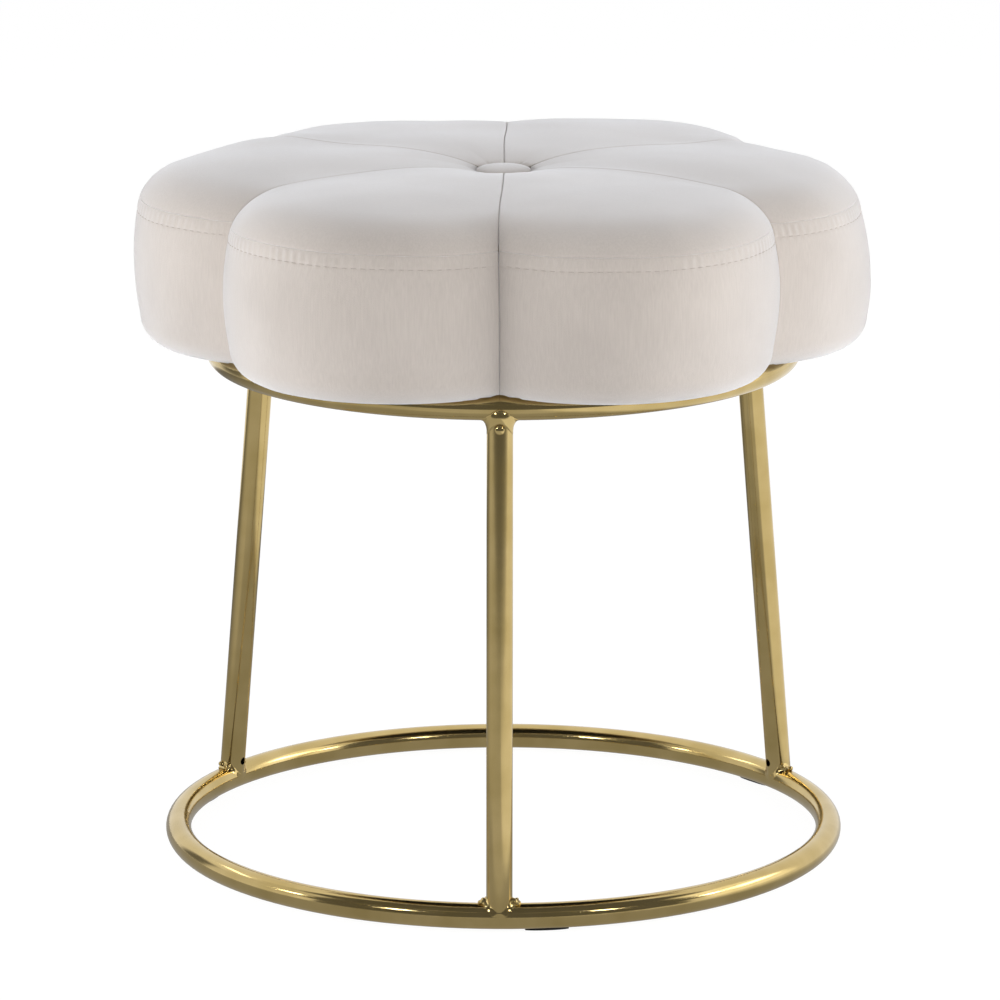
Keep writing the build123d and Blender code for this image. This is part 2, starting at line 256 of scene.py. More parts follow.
@dataclass(frozen=True)
class Thread(Finish):
    """Bonded polyester sewing thread, twisted, a little darker than the velvet, with painted shade from the stitches'
    own shadows mixed into its colour.
    """

    name: str = "polyester_thread"
    roughness: float = 0.7
    # colour is the stitches' look in their own shadow, painted shade; #B7ACA3 below is the thread's own colour.
    colour: str = "#A89D94"
    twist_shade_size: float = 0.8

    def dress(self, tree: bpy.types.NodeTree, surface: bpy.types.Node) -> None:
        """Colours the thread, with blots of painted shade."""
        # Painted shade: noise blots mix the shaded tone into the thread's own colour.
        shade = remap(tree, noise_at(tree, self.twist_shade_size), 0.3, 0.7, (0.0, 1.0))
        tree.links.new(blend_colours(tree, shade, self.colour, "#B7ACA3"), surface.inputs["Base Color"])
        surface.inputs["Sheen Weight"].default_value = 0.1


@dataclass(frozen=True)
class BrassPlate(Finish):
    """Polished steel tube plated in brass: a warm mirror, slightly soft, with faint handling haze."""

    name: str = "brass_plated_steel"
    roughness: float = 0.13
    bright: str = "#CDB67E"
    toned: str = "#BFA86E"
    haze_size: float = 24.0
    ripple_size: float = 9.0
    ripple_depth: float = 0.012

    def dress(self, tree: bpy.types.NodeTree, surface: bpy.types.Node) -> None:
        """Tones the plating unevenly and lets its gloss and its face wander a little."""
        haze = noise_at(tree, self.haze_size)
        tone = remap(tree, haze, 0.3, 0.7, (0.0, 1.0))
        tree.links.new(blend_colours(tree, tone, self.bright, self.toned), surface.inputs["Base Color"])
        gloss = remap(tree, haze, 0.3, 0.7, (self.roughness * 0.85, self.roughness * 1.25))
        tree.links.new(gloss, surface.inputs["Roughness"])
        surface.inputs["Metallic"].default_value = 1.0
        self.raise_grain(tree, surface, noise_at(tree, self.ripple_size), self.ripple_depth)


@dataclass(frozen=True)
class ZincPlate(Finish):
    """Bright zinc on steel fasteners: cool grey with a faint crystal mottle."""

    name: str = "zinc_plated_steel"
    roughness: float = 0.32
    bright: str = "#C4C6C8"
    dull: str = "#A5A8AB"
    crystal_size: float = 1.4

    def dress(self, tree: bpy.types.NodeTree, surface: bpy.types.Node) -> None:
        """Mottles the zinc."""
        mottle = remap(tree, noise_at(tree, self.crystal_size), 0.35, 0.65, (0.0, 1.0))
        tree.links.new(blend_colours(tree, mottle, self.bright, self.dull), surface.inputs["Base Color"])
        surface.inputs["Metallic"].default_value = 1.0


@dataclass(frozen=True)
class Plywood(Finish):
    """Raw poplar plywood: pale plies seen at the edge, long grain on the face."""

    name: str = "poplar_plywood"
    roughness: float = 0.75
    early_wood: str = "#D9BE93"
    late_wood: str = "#B08A5B"
    ply_thickness: float = 1.7
    grain_width: float = 2.2
    grain_stretch: float = 22.0

    def dress(self, tree: bpy.types.NodeTree, surface: bpy.types.Node) -> None:
        """Draws the grain along one side and the plies through the thickness."""
        grain = noise_at(tree, self.grain_width, Vector((self.grain_stretch, 1, 0.5)), 3.0)
        share = remap(tree, grain, 0.3, 0.7, (0.0, 1.0))
        tree.links.new(blend_colours(tree, share, self.early_wood, self.late_wood), surface.inputs["Base Color"])
        place = add_node(tree, "ShaderNodeTexCoord").outputs["Object"]
        settings = {"wave_type": "BANDS", "bands_direction": "Z", "Scale": 1 / (self.ply_thickness * MM * FULL_TURN)}
        plies = add_node(tree, "ShaderNodeTexWave", settings, {"Vector": place}).outputs["Fac"]
        self.raise_grain(tree, surface, plies, 0.1)


@dataclass(frozen=True)
class Foam(Finish):
    """Cut polyurethane foam: cream, open-celled, fully matt."""

    name: str = "polyurethane_foam"
    roughness: float = 0.95
    cell_wall: str = "#E9DFC0"
    cell_shadow: str = "#CDBE94"
    cell_size: float = 0.9

    def dress(self, tree: bpy.types.NodeTree, surface: bpy.types.Node) -> None:
        """Pits the foam with its cells."""
        place = add_node(tree, "ShaderNodeTexCoord").outputs["Object"]
        cells = add_node(tree, "ShaderNodeTexVoronoi", {"Scale": 1 / (self.cell_size * MM)}, {"Vector": place})
        depth = cells.outputs["Distance"]
        tree.links.new(blend_colours(tree, depth, self.cell_shadow, self.cell_wall), surface.inputs["Base Color"])
        self.raise_grain(tree, surface, depth, 0.3)


@dataclass(frozen=True)
class NonWoven(Finish):
    """Spun-bonded polypropylene cloth, black: matt, with the bonding roller's diamond dots."""

    name: str = "non_woven_cloth"
    roughness: float = 0.9
    fibre: str = "#1B1B1C"
    bonded: str = "#0E0E0F"
    dot_pitch: float = 1.6

    def dress(self, tree: bpy.types.NodeTree, surface: bpy.types.Node) -> None:
        """Presses the bonding dots into the cloth."""
        place = add_node(tree, "ShaderNodeTexCoord").outputs["Object"]
        turn = {"Rotation": Vector((0, 0, math.radians(45)))}
        place = add_node(tree, "ShaderNodeMapping", turn, {"Vector": place}).outputs[0]
        settings = {"distance": "MANHATTAN", "Scale": 1 / (self.dot_pitch * MM), "Randomness": 0.0}
        dots = add_node(tree, "ShaderNodeTexVoronoi", settings, {"Vector": place}).outputs["Distance"]
        tree.links.new(blend_colours(tree, dots, self.bonded, self.fibre), surface.inputs["Base Color"])
        self.raise_grain(tree, surface, dots, 0.15)


@dataclass(frozen=True)
class Rubber(Finish):
    """Moulded nitrile rubber: near-black, dusty and matt."""

    name: str = "nitrile_rubber"
    roughness: float = 0.8
    clean: str = "#161616"
    dusty: str = "#262524"
    dust_size: float = 3.0

    def dress(self, tree: bpy.types.NodeTree, surface: bpy.types.Node) -> None:
        """Dusts the rubber."""
        dust = remap(tree, noise_at(tree, self.dust_size), 0.35, 0.65, (0.0, 1.0))
        tree.links.new(blend_colours(tree, dust, self.clean, self.dusty), surface.inputs["Base Color"])
        self.raise_grain(tree, surface, dust, 0.05)


@dataclass(frozen=True)
class Nylon(Finish):
    """Moulded natural nylon: milky, slightly waxy."""

    name: str = "natural_nylon"
    roughness: float = 0.42
    milky: str = "#DAD8CF"
    waxy: str = "#C9C6BA"
    cloud_size: float = 5.0

    def dress(self, tree: bpy.types.NodeTree, surface: bpy.types.Node) -> None:
        """Clouds the nylon."""
        cloud = remap(tree, noise_at(tree, self.cloud_size), 0.35, 0.65, (0.0, 1.0))
        tree.links.new(blend_colours(tree, cloud, self.milky, self.waxy), surface.inputs["Base Color"])
        surface.inputs["IOR"].default_value = 1.53


# Pieces


def finish_mesh(shape: BMesh, name: str, finish: Finish) -> bpy.types.Object:
    """Turns a shape in millimetres into a piece in metres, on the stool's one body.

    Args:
        shape: the shape, which is used up.
        name: name of the piece.
        finish: what the piece is made of.

    Returns:
        The new piece.
    """
    bmesh.ops.scale(shape, verts=shape.verts, vec=(MM, MM, MM))
    mesh = bpy.data.meshes.new(name)
    shape.to_mesh(mesh)
    shape.free()
    mesh.polygons.foreach_set("use_smooth", [True] * len(mesh.polygons))
    mesh.materials.append(finish.material())
    piece = bpy.data.objects.new(name, mesh)
    bpy.context.scene.collection.objects.link(piece)
    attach(piece, BODY)
    return piece


def give_wall(piece: bpy.types.Object, thickness: float) -> None:
    """Gives an open panel a wall on its inner side, thickness in millimetres."""
    wall = piece.modifiers.new("wall", "SOLIDIFY")
    wall.thickness = thickness * MM
    wall.offset = -1
    wall.use_rim = True


@dataclass(frozen=True)
class Arc:
    """Round stretch of an upright section, in the plane of radius and height."""

    centre: Vector
    radius: float
    start: float
    turn: float

    @classmethod
    def through(cls, first: Vector, middle: Vector, last: Vector) -> "Arc":
        """Finds the arc through three points that run clockwise."""
        across, along = middle - first, last - first
        cross = 2 * (across.x * along.y - across.y * along.x)
        offset = Vector(
            (
                (along.y * across.length_squared - across.y * along.length_squared) / cross,
                (across.x * along.length_squared - along.x * across.length_squared) / cross,
            )
        )
        centre = first + offset
        begin, end = first - centre, last - centre
        start = math.atan2(begin.y, begin.x)
        return cls(centre, offset.length, start, math.atan2(end.y, end.x) - start)

    @property
    def length(self) -> float:
        """Length of the stretch."""
        return abs(self.turn) * self.radius

    def at(self, run: float) -> Vector:
        """Point at a distance along the stretch."""
        angle = self.start + self.turn * run / self.length
        return self.centre + self.radius * Vector((math.cos(angle), math.sin(angle)))


@dataclass
class PetalForm:
    """Shape that the six petals share, drawn on the +X side, in millimetres.

    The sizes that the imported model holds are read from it. The rest say how the petal
    curves between them, as its section is drawn in the model.
    """

    centre: float = 125.0
    half_turn: float = math.radians(30)
    seam_inset: float = 4.9
    corner_inset: float = 3.3
    corner_radius: float = 17.4
    shoulder_radius: float = 35.0
    shoulder_lean: float = math.radians(27)
    belly_rise: float = 46.0
    dish_depth: float = 13.0
    dish_power: float = 3.2
    flange_radius: float = 160.0
    flange_gap: float = 0.1
    radius: float = field(init=False)
    crown_z: float = field(init=False)
    seam_z: float = field(init=False)
    lip_z: float = field(init=False)
    seat_z: float = field(init=False)
    seat_reach: float = field(init=False)
    top_path: tuple[Arc, Arc] = field(init=False)
    side_path: tuple[Arc, Arc] = field(init=False)

    def __post_init__(self) -> None:
        """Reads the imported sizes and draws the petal's section."""
        self.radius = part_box("side_panel_2")[1].x / MM - self.centre
        self.seam_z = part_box("top_panel_2")[0].z / MM
        self.crown_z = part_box("top_panel_2")[1].z / MM
        self.lip_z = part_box("side_panel_2")[0].z / MM
        self.seat_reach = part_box("seat_ring")[1].x / MM
        self.seat_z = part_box("seat_ring")[1].z / MM
        lean = self.shoulder_lean
        seam = Vector((self.radius - self.seam_inset, self.seam_z))
        shoulder = seam - self.shoulder_radius * Vector((math.cos(lean), math.sin(lean)))
        rise = self.crown_z - shoulder.y
        bend = (shoulder.x**2 + rise**2 - self.shoulder_radius**2) / (2 * (rise - self.shoulder_radius))
        crown = Vector((0.0, self.crown_z - bend))
        blend = math.asin((shoulder.y - crown.y) / (bend - self.shoulder_radius))
        self.top_path = (
            Arc(crown, bend, math.pi / 2, blend - math.pi / 2),
            Arc(shoulder, self.shoulder_radius, blend, lean - blend),
        )
        corner = Vector((self.radius - self.corner_inset - self.corner_radius, self.lip_z + self.corner_radius))
        cheek = corner + Vector((self.corner_radius, 0))
        belly = Vector((self.radius, self.seat_z + self.belly_rise))
        self.side_path = (
            Arc.through(seam, belly, cheek),
            Arc(corner, self.corner_radius, 0.0, -math.pi / 2),
        )

    @property
    def seam_gap(self) -> float:
        """Distance from the petal's own axis to the upright planes of its seams."""
        return self.centre * math.sin(self.half_turn)

    @property
    def top_length(self) -> float:
        """Length of the top's section, from the petal's axis to the seam round the cushion."""
        return sum(arc.length for arc in self.top_path)

    @property
    def side_length(self) -> float:
        """Length of the side's section, from the seam to the flat underside."""
        return sum(arc.length for arc in self.side_path)

    def seam_turn(self, reach: float) -> float:
        """Turn about the petal's axis at which a circle of that reach meets a seam's plane."""
        along = self.centre * math.cos(self.half_turn) + math.sqrt(max(reach**2 - self.seam_gap**2, 0))
        return math.atan2(along * math.sin(self.half_turn), along * math.cos(self.half_turn) - self.centre)

    @staticmethod
    def walk(path: Iterable[Arc], run: float) -> Vector:
        """Point of a section, as radius and height, at a distance along it."""
        arcs = list(path)
        for arc in arcs[:-1]:
            if run <= arc.length:
                return arc.at(run)
            run -= arc.length
        return arcs[-1].at(run)

    def run_to(self, turn: float, reach: float) -> float:
        """Distance along the top's section to a reach from the petal's axis."""
        crown, shoulder = self.top_path
        if math.cos(turn) < 0 or reach <= crown.at(crown.length).x:
            return crown.radius * math.asin(reach / crown.radius)
        angle = math.acos((reach - shoulder.centre.x) / shoulder.radius)
        return crown.length + (shoulder.start - angle) * shoulder.radius

    def on_top(self, turn: float, run: float) -> Vector:
        """Point of the top, at a turn about the petal's axis and a distance along the section."""
        if math.cos(turn) >= 0:
            reach, height = self.walk(self.top_path, run)
            return Vector((self.centre + reach * math.cos(turn), reach * math.sin(turn), height))
        bend = self.top_path[0].radius
        reach = bend * math.sin(run / bend)
        place = Vector((self.centre + reach * math.cos(turn), reach * math.sin(turn), 0))
        sunk = self.dish_depth * (1 - max(place.x, 0) / self.centre) ** self.dish_power
        place.z = self.crown_z - sunk - bend + math.sqrt(bend**2 - place.y**2)
        return place

    def on_side(self, turn: float, run: float) -> Vector:
        """Point of the side, at a turn about the petal's axis and a distance below the seam."""
        reach, height = self.walk(self.side_path, run)
        return Vector((self.centre + reach * math.cos(turn), reach * math.sin(turn), height))


@dataclass(frozen=True)
class Fold:
    """How a panel turns down into a seam, in millimetres.

    Roll is the width of the tight turn at the stitches. Sink is how deep the soft hollow
    beside it is, and ease is how far it reaches. A sink below zero is velvet that bridges.
    """

    roll: float
    sink: float
    ease: float

    def depth(self, distance: float) -> float:
        """How far the panel sinks at a distance from the seam; below zero it is the allowance."""
        sunk = self.sink * math.exp(-max(distance, 0) / self.ease)
        if distance < 0:
            return sunk + self.roll - distance
        if distance < self.roll:
            sunk += self.roll * (1 - math.sqrt(max(1 - (1 - distance / self.roll) ** 2, 0)))
        return sunk


@dataclass(frozen=True)
class Slump:
    """Place where the stuffing has given way, and how far it moved, in millimetres."""

    centre: Vector
    spread: float
    shift: Vector


@dataclass
class Sewing:
    """How the velvet goes into its seams, and how stitches and use have pulled it, in millimetres."""

    crease: Fold = Fold(roll=0.7, sink=-1.3, ease=11.0)
    valley: Fold = Fold(roll=0.8, sink=-1.5, ease=9.0)
    rim: Fold = Fold(roll=0.5, sink=0.15, ease=3.0)
    corner_low: float = -8.0
    corner_high: float = 18.0
    pitch: float = 5.75
    topstitch_run: float = 8.4
    topstitch_dent: float = 0.28
    allowance_lift: float = 0.22
    pucker: float = 0.26
    pinch: float = 0.5
    wave: float = 0.5
    wave_length: float = 75.0
    ripple: float = 0.16
    ripple_length: float = 24.0
    drift: float = 1.3
    drift_length: float = 60.0
    slumps: tuple[Slump, ...] = (
        Slump(Vector((215, -15, 428)), 58.0, Vector((-5.5, 0, -1.0))),
        Slump(Vector((-60, 135, 440)), 70.0, Vector((0, 0, -2.9))),
        Slump(Vector((60, 135, 440)), 60.0, Vector((0, 0, -0.5))),
        Slump(Vector((0, 0, 433)), 24.0, Vector((0, 0, -2.0))),
        Slump(Vector((-150, 85, 430)), 36.0, Vector((0, 0, 5.5))),
        Slump(Vector((148, 85, 430)), 30.0, Vector((0, 0, 4.0))),
        Slump(Vector((-205, 15, 415)), 65.0, Vector((-1.2, 0, 1.2))),
        Slump(Vector((0, 165, 433)), 36.0, Vector((0, 0, 2.8))),
        Slump(Vector((-115, -168, 414)), 48.0, Vector((0, 0, 2.6))),
    )

    def between_petals(self, distance: float, over_rim: float) -> float:
        """Depth beside a seam between petals, which changes from crease to valley over the rim.

        Args:
            distance: distance from the seam.
            over_rim: height over the seam round the cushion.

        Returns:
            Depth below the smooth panel.
        """
        share = smooth_step(self.corner_low, self.corner_high, over_rim)
        return share * self.crease.depth(distance) + (1 - share) * self.valley.depth(distance)

    def gather(self, place: Vector, along: float, below: float) -> float:
        """Height of the puckers that the rim's stitches draw up.

        Args:
            place: point in the stool's frame, which varies the puckers.
            along: distance along the rim.
            below: distance below the rim's seam, less than zero on the top panel.

        Returns:
            Height over the smooth panel.
        """
        phase = FULL_TURN * (along / self.pitch + 0.35 * noise.noise(place / 31))
        strength = 0.35 + 1.0 * max(noise.noise(place / 19 + Vector((9, 4, 2))) + 0.3, 0)
        pinched = self.pinch * strength * hump(0, 0.3, math.sin(phase / 2))
        if below < 0:
            rise = 0.4 * self.pucker * strength * math.cos(phase) * math.exp(below / 2.2)
            return rise - pinched * hump(0, 0.7, below)
        window = smooth_step(0.2, 2.2, below) * (1 - 0.85 * smooth_step(6.5, 12.5, below))
        sharp = 0.6 * math.cos(phase) - 0.4 * abs(math.sin(phase / 2)) + 0.2
        height = self.pucker * strength * sharp * window * (1 - smooth_step(12.5, 22, below))
        return height - pinched * hump(0, 0.9, below)

    def swell(self, place: Vector) -> float:
        """Slow unevenness of the stuffing below the velvet."""
        slow = noise.noise(place / self.wave_length + Vector((3, 7, 5)))
        quick = noise.noise(place / self.ripple_length + Vector((1, 8, 6)))
        return self.wave * slow + self.ripple * quick

    def settled(self, place: Vector, floor: float) -> Vector:
        """Where a point of the cushion has gone in use.

        Args:
            place: point in the stool's frame.
            floor: height at which the cushion is held and nothing moves.

        Returns:
            The point's place.
        """
        moved = noise.noise_vector(place / self.drift_length + Vector((2, 6, 4))) * self.drift
        moved *= smooth_step(8, 30, math.hypot(place.x, place.y))
        for slump in self.slumps:
            moved += slump.shift * hump(0, slump.spread, (place - slump.centre).length)
        return place + moved * smooth_step(floor, floor + 40, place.z)


@dataclass
class Cushion:
    """Velvet cover of twelve panels over the foam, with its stitches and its button."""

    form: PetalForm
    sewing: Sewing = field(default_factory=Sewing)
    velvet: Velvet = field(default_factory=Velvet)
    thread: Thread = field(default_factory=Thread)
    foam: Foam = field(default_factory=Foam)
    petal_count: int = 6
    first_turn: float = math.radians(-60)
    panel_thickness: float = 1.1
    rim_step: float = 0.95
    valley_step: float = 3.2
    allowance_row: float = -2.5
    seam_rows: tuple[float, ...] = (0.0, 0.25, 0.55, 0.95, 1.5, 2.2, 3.2)
    topstitch_rows: tuple[float, ...] = (4.4, 5.6, 6.6, 7.4, 8.0, 8.4, 8.8, 9.4, 10.2, 11.4, 13.0, 15.0)
    stitch_length: float = 3.7
    stitch_radius: float = 0.25
    foam_gap: float = 5.0
    button_sink: float = 1.8

    def placed(self, number: int) -> Matrix:
        """Turn that takes the +X petal to the place of a numbered one."""
        return Matrix.Rotation(self.first_turn + (number - 1) * FULL_TURN / self.petal_count, 3, "Z")

    @staticmethod
    def patch(columns: int, rows: int, notes: tuple[str, ...]) -> tuple[BMesh, list[list[BMVert]]]:
        """Square grid of vertices, ready to be shaped.

        Args:
            columns: vertices across.
            rows: vertices down.
            notes: names of the numbers that each vertex keeps about its place.

        Returns:
            The grid, and its vertices by row and column.
        """
        shape = bmesh.new()
        for note in notes:
            shape.verts.layers.float.new(note)
        bmesh.ops.create_grid(shape, x_segments=columns - 1, y_segments=rows - 1, size=0.5)
        grid = [[None] * columns for _ in range(rows)]
        for vert in shape.verts:
            column = round((vert.co.x + 0.5) * (columns - 1))
            row = round((vert.co.y + 0.5) * (rows - 1))
            grid[row][column] = vert
        return shape, grid

    def sewn_in(self, vert: BMVert, normal: Vector, side: float, turn: float, edges: tuple[float, float]) -> Vector:
        """How far, and which way, a panel's edges go down into its seams at a point.

        The way lies in the seam itself, so both panels that meet there go the same way.

        Args:
            vert: vertex of the panel.
            normal: the panel's own outward normal there.
            side: 1 or -1, the side of the petal that the nearer valley is on.
            turn: turn about the petal's axis.
            edges: distances to the seam between petals and to the rim.

        Returns:
            The shift.
        """
        to_valley, to_rim = edges
        form = self.form
        lean = form.shoulder_lean * 0.75
        out = Vector((math.cos(turn) * math.cos(lean), math.sin(turn) * math.cos(lean), math.sin(lean)))
        shared = normal.lerp(out, math.exp(-max(to_rim, 0) / 6)).normalized()
        across = Vector((-math.sin(form.half_turn), math.cos(form.half_turn) * side, 0))
        down = -(shared - across * shared.dot(across)).normalized()
        depth = self.sewing.between_petals(to_valley, vert.co.z - form.seam_z)
        return down * depth - out * self.sewing.rim.depth(to_rim)

    def top_stations(self) -> list[float]:
        """Turns about the petal's axis at which the top's columns stand, once round."""
        form = self.form
        rim = form.seam_turn(form.radius - form.seam_inset)
        rim_length = 2 * rim * (form.radius - form.seam_inset)
        across = [-rim + 2 * rim * share for share in spaced(0, 1, self.rim_step / rim_length)]
        valley_length = math.hypot(form.centre + (form.radius - form.seam_inset) * math.cos(rim),
                                   (form.radius - form.seam_inset) * math.sin(rim))
        down = []
        for left in spaced(0, valley_length, self.valley_step):
            along = valley_length - left
            down.append(math.atan2(along * math.sin(form.half_turn),
                                   along * math.cos(form.half_turn) - form.centre))
        back = [FULL_TURN - turn for turn in reversed(down[1:])]
        return across + down + [math.pi] + back

    def top_panel(self, number: int) -> bpy.types.Object:
        """Makes a petal's top panel, dished to the button and rolled into its seams."""
        form, sewing = self.form, self.sewing
        turns = self.top_stations()
        turns.append(turns[0] + FULL_TURN)
        shares = [1 - row / form.seam_gap for row in self.seam_rows]
        shares += [1 - row / form.seam_gap for row in (4.6, 6.5, 9, 12.5, 17, 22.5, 29, 36, 44, 53)]
        shares = [1.0] + shares + [0.0]
        notes = ("valley", "rim", "turn")
        shape, grid = self.patch(len(turns), len(shares), notes)
        valley, rim, turned = (shape.verts.layers.float[note] for note in notes)
        rim_turn = form.seam_turn(form.radius - form.seam_inset)
        for column, turn in enumerate(turns):
            folded = abs(math.remainder(turn, FULL_TURN))
            if folded <= rim_turn:
                ends = form.top_length
            else:
                ends = form.run_to(turn, form.seam_gap / math.cos(folded - math.pi / 2 - form.half_turn))
            for row, share in enumerate(shares):
                vert = grid[row][column]
                vert.co = form.on_top(turn, share * ends)
                vert[turned] = turn
                vert[rim] = form.top_length - share * ends
                vert[valley] = vert.co.x * math.sin(form.half_turn) - abs(vert.co.y) * math.cos(form.half_turn)
                if row == 0:
                    seam = rim if folded <= rim_turn else valley
                    vert[seam] = self.allowance_row
        merged = {vert: grid[-1][0] for vert in grid[-1][1:]}
        merged.update({row[-1]: row[0] for row in grid[:-1]})
        bmesh.ops.weld_verts(shape, targetmap=merged)
        bmesh.ops.recalc_face_normals(shape, faces=shape.faces)
        place = self.placed(number)
        normals = {vert: vert.normal.copy() for vert in shape.verts}
        if sum(normal.z for normal in normals.values()) < 0:
            bmesh.ops.reverse_faces(shape, faces=shape.faces)
            normals = {vert: -normal for vert, normal in normals.items()}
        for hidden, edge in zip(grid[0][:-1], grid[1][:-1]):
            normals[hidden] = normals[edge]
        for vert, normal in normals.items():
            to_valley, to_rim, turn = vert[valley], vert[rim], vert[turned]
            side = 1 if vert.co.y >= 0 else -1
            spot = place @ vert.co
            calm = smooth_step(0, 9, min(to_valley, to_rim))
            moved = normal * (sewing.swell(spot) * calm)
            if to_rim < 12:
                along = turn * (form.radius - form.seam_inset)
                moved += normal * (sewing.gather(spot, along, -max(to_rim, 0.01)) * smooth_step(0, 1.2, to_rim))
            moved += self.sewn_in(vert, normal, side, turn, (to_valley, to_rim))
            vert.co = sewing.settled(place @ (vert.co + moved), form.seat_z)
        return self.upholster(shape, f"velvet_top_{number}", f"top_panel_{number}")

    def side_panel(self, number: int) -> tuple[bpy.types.Object, list[tuple[Vector, Vector]]]:
        """Makes a petal's side panel, gathered at the rim and turned in under the seat.

        Returns:
            The panel, and the line of its topstitch as points and outward normals.
        """
        form, sewing = self.form, self.sewing
        reach = form.radius - form.seam_inset
        half = form.seam_turn(reach) * reach
        edge = [row for row in self.seam_rows]
        inner = spaced(edge[-1] + self.rim_step, 2 * half - edge[-1], self.rim_step)
        across = [0.0] + edge + inner + [2 * half - row for row in reversed(edge)] + [2 * half]
        runs = [0.0] + list(self.seam_rows) + list(self.topstitch_rows)
        runs += spaced(self.topstitch_rows[-1] + 3, form.side_length, 3.2) + [form.side_length]
        flange = [0.12, 0.25, 0.4, 0.55, 0.7, 0.85, 1.0]
        notes = ("valley", "below", "along")
        shape, grid = self.patch(len(across), len(runs) + len(flange), notes)
        valley, below, along = (shape.verts.layers.float[note] for note in notes)
        last = len(across) - 1
        for row, run in enumerate(runs):
            distance = form.walk(form.side_path, run).x
            limit = form.seam_turn(distance)
            for column, station in enumerate(across):
                vert = grid[row][column]
                vert.co = form.on_side((station / half - 1) * limit, run)
                vert[along] = station - half
                vert[below] = self.allowance_row if row == 0 else run
                vert[valley] = min(station, 2 * half - station)
                if column in (0, last):
                    vert[valley] = self.allowance_row
        for step, share in enumerate(flange):
            for column, station in enumerate(across):
                outer = grid[len(runs) - 1][column]
                vert = grid[len(runs) + step][column]
                azimuth = math.atan2(outer.co.y, outer.co.x)
                flat = Vector((outer.co.x, outer.co.y)).length
                reached = flat + (form.flange_radius - flat) * share
                vert.co = Vector((reached * math.cos(azimuth), reached * math.sin(azimuth), form.lip_z))
                vert[along] = station - half
                vert[below] = form.side_length + flat - reached
                vert[valley] = grid[len(runs) - 1][column][valley]
        shape.normal_update()
        place = self.placed(number)
        normals = {vert: vert.normal.copy() for vert in shape.verts}
        middle = grid[10][len(across) // 2]
        if normals[middle].x < 0:
            bmesh.ops.reverse_faces(shape, faces=shape.faces)
            normals = {vert: -normal for vert, normal in normals.items()}
        for row in grid:
            normals[row[0]], normals[row[-1]] = normals[row[1]], normals[row[-2]]
        for hidden, edge in zip(grid[0], grid[1]):
            normals[hidden] = normals[edge]
        for vert, normal in normals.items():
            to_valley, down, turn = vert[valley], vert[below], vert[along] / half * form.seam_turn(reach)
            side = 1 if vert[along] >= 0 else -1
            spot = place @ vert.co
            calm = smooth_step(0, 9, to_valley) * smooth_step(0, 14, down)
            calm *= 1 - smooth_step(form.side_length - 12, form.side_length, down)
            moved = normal * (sewing.swell(spot) * calm)
            if 0 <= down < 24:
                firm = smooth_step(0, 1.0, down) * smooth_step(0, 2.0, to_valley)
                lift = sewing.allowance_lift * smooth_step(0.5, 2.5, down) * (1 - smooth_step(7.2, 8.4, down))
                dent = sewing.topstitch_dent * hump(sewing.topstitch_run, 0.75, down)
                moved += normal * ((sewing.gather(spot, vert[along], down) + lift - dent) * firm)
            moved += self.sewn_in(vert, normal, side, turn, (to_valley, down))
            vert.co = sewing.settled(place @ (vert.co + moved), form.seat_z)
            if down > form.side_length - form.corner_radius:
                self.seat(vert)
        stitched = grid[1 + runs[1:].index(sewing.topstitch_run)]
        line = [(vert.co.copy(), place @ normals[vert]) for vert in stitched[8:-8]]
        panel = self.upholster(shape, f"velvet_side_{number}", f"side_panel_{number}")
        return panel, line

    def seat(self, vert: BMVert) -> None:
        """Lays the underside on the seat ring, where it is pressed flat."""
        form = self.form
        distance = math.hypot(vert.co.x, vert.co.y)
        pressed = 1 - smooth_step(form.seat_reach - 5, form.seat_reach + 4, distance)
        floor = form.lip_z + (form.seat_z + form.flange_gap - form.lip_z) * pressed
        vert.co.z = max(vert.co.z, floor)

    def upholster(self, shape: BMesh, name: str, node: str) -> bpy.types.Object:
        """Finishes a panel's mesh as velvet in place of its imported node."""
        panel = finish_mesh(shape, name, self.velvet)
        give_wall(panel, self.panel_thickness)
        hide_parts(node)
        return panel

    def topstitch(self, number: int, line: list[tuple[Vector, Vector]]) -> bpy.types.Object:
        """Lays one petal's row of stitches along the line that the side panel gives."""
        shape = bmesh.new()
        run, next_stitch = 0.0, self.sewing.pitch / 2
        for (here, normal), (ahead, _) in zip(line, line[1:]):
            step = (ahead - here).length
            if run <= next_stitch < run + step:
                tangent = (ahead - here).normalized()
                outward = (normal - tangent * normal.dot(tangent)).normalized()
                middle = here.lerp(ahead, (next_stitch - run) / step) + outward * self.stitch_radius * 0.3
                axes = Matrix((tangent * self.stitch_length / 2, outward * self.stitch_radius,
                               tangent.cross(outward) * self.stitch_radius)).transposed().to_4x4()
                bmesh.ops.create_uvsphere(shape, u_segments=8, v_segments=6, radius=1,
                                          matrix=Matrix.Translation(middle) @ axes)
                next_stitch += self.sewing.pitch
            run += step
        bmesh.ops.recalc_face_normals(shape, faces=shape.faces)
        row = finish_mesh(shape, f"topstitch_{number}", self.thread)
        return row

    def foam_core(self) -> bpy.types.Object:
        """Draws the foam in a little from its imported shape, so that seams have room."""
        shape = bmesh.new()
        shape.from_mesh(bpy.data.objects["foam_pad"].data)
        bmesh.ops.scale(shape, verts=shape.verts, vec=(1 / MM,) * 3)
        bmesh.ops.remove_doubles(shape, verts=shape.verts, dist=0.01)
        shape.normal_update()
        shift = {vert: -vert.normal * self.foam_gap for vert in shape.verts}
        for vert, step in shift.items():
            vert.co += step
        core = finish_mesh(shape, "foam_core", self.foam)
        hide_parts("foam_pad")
        return core

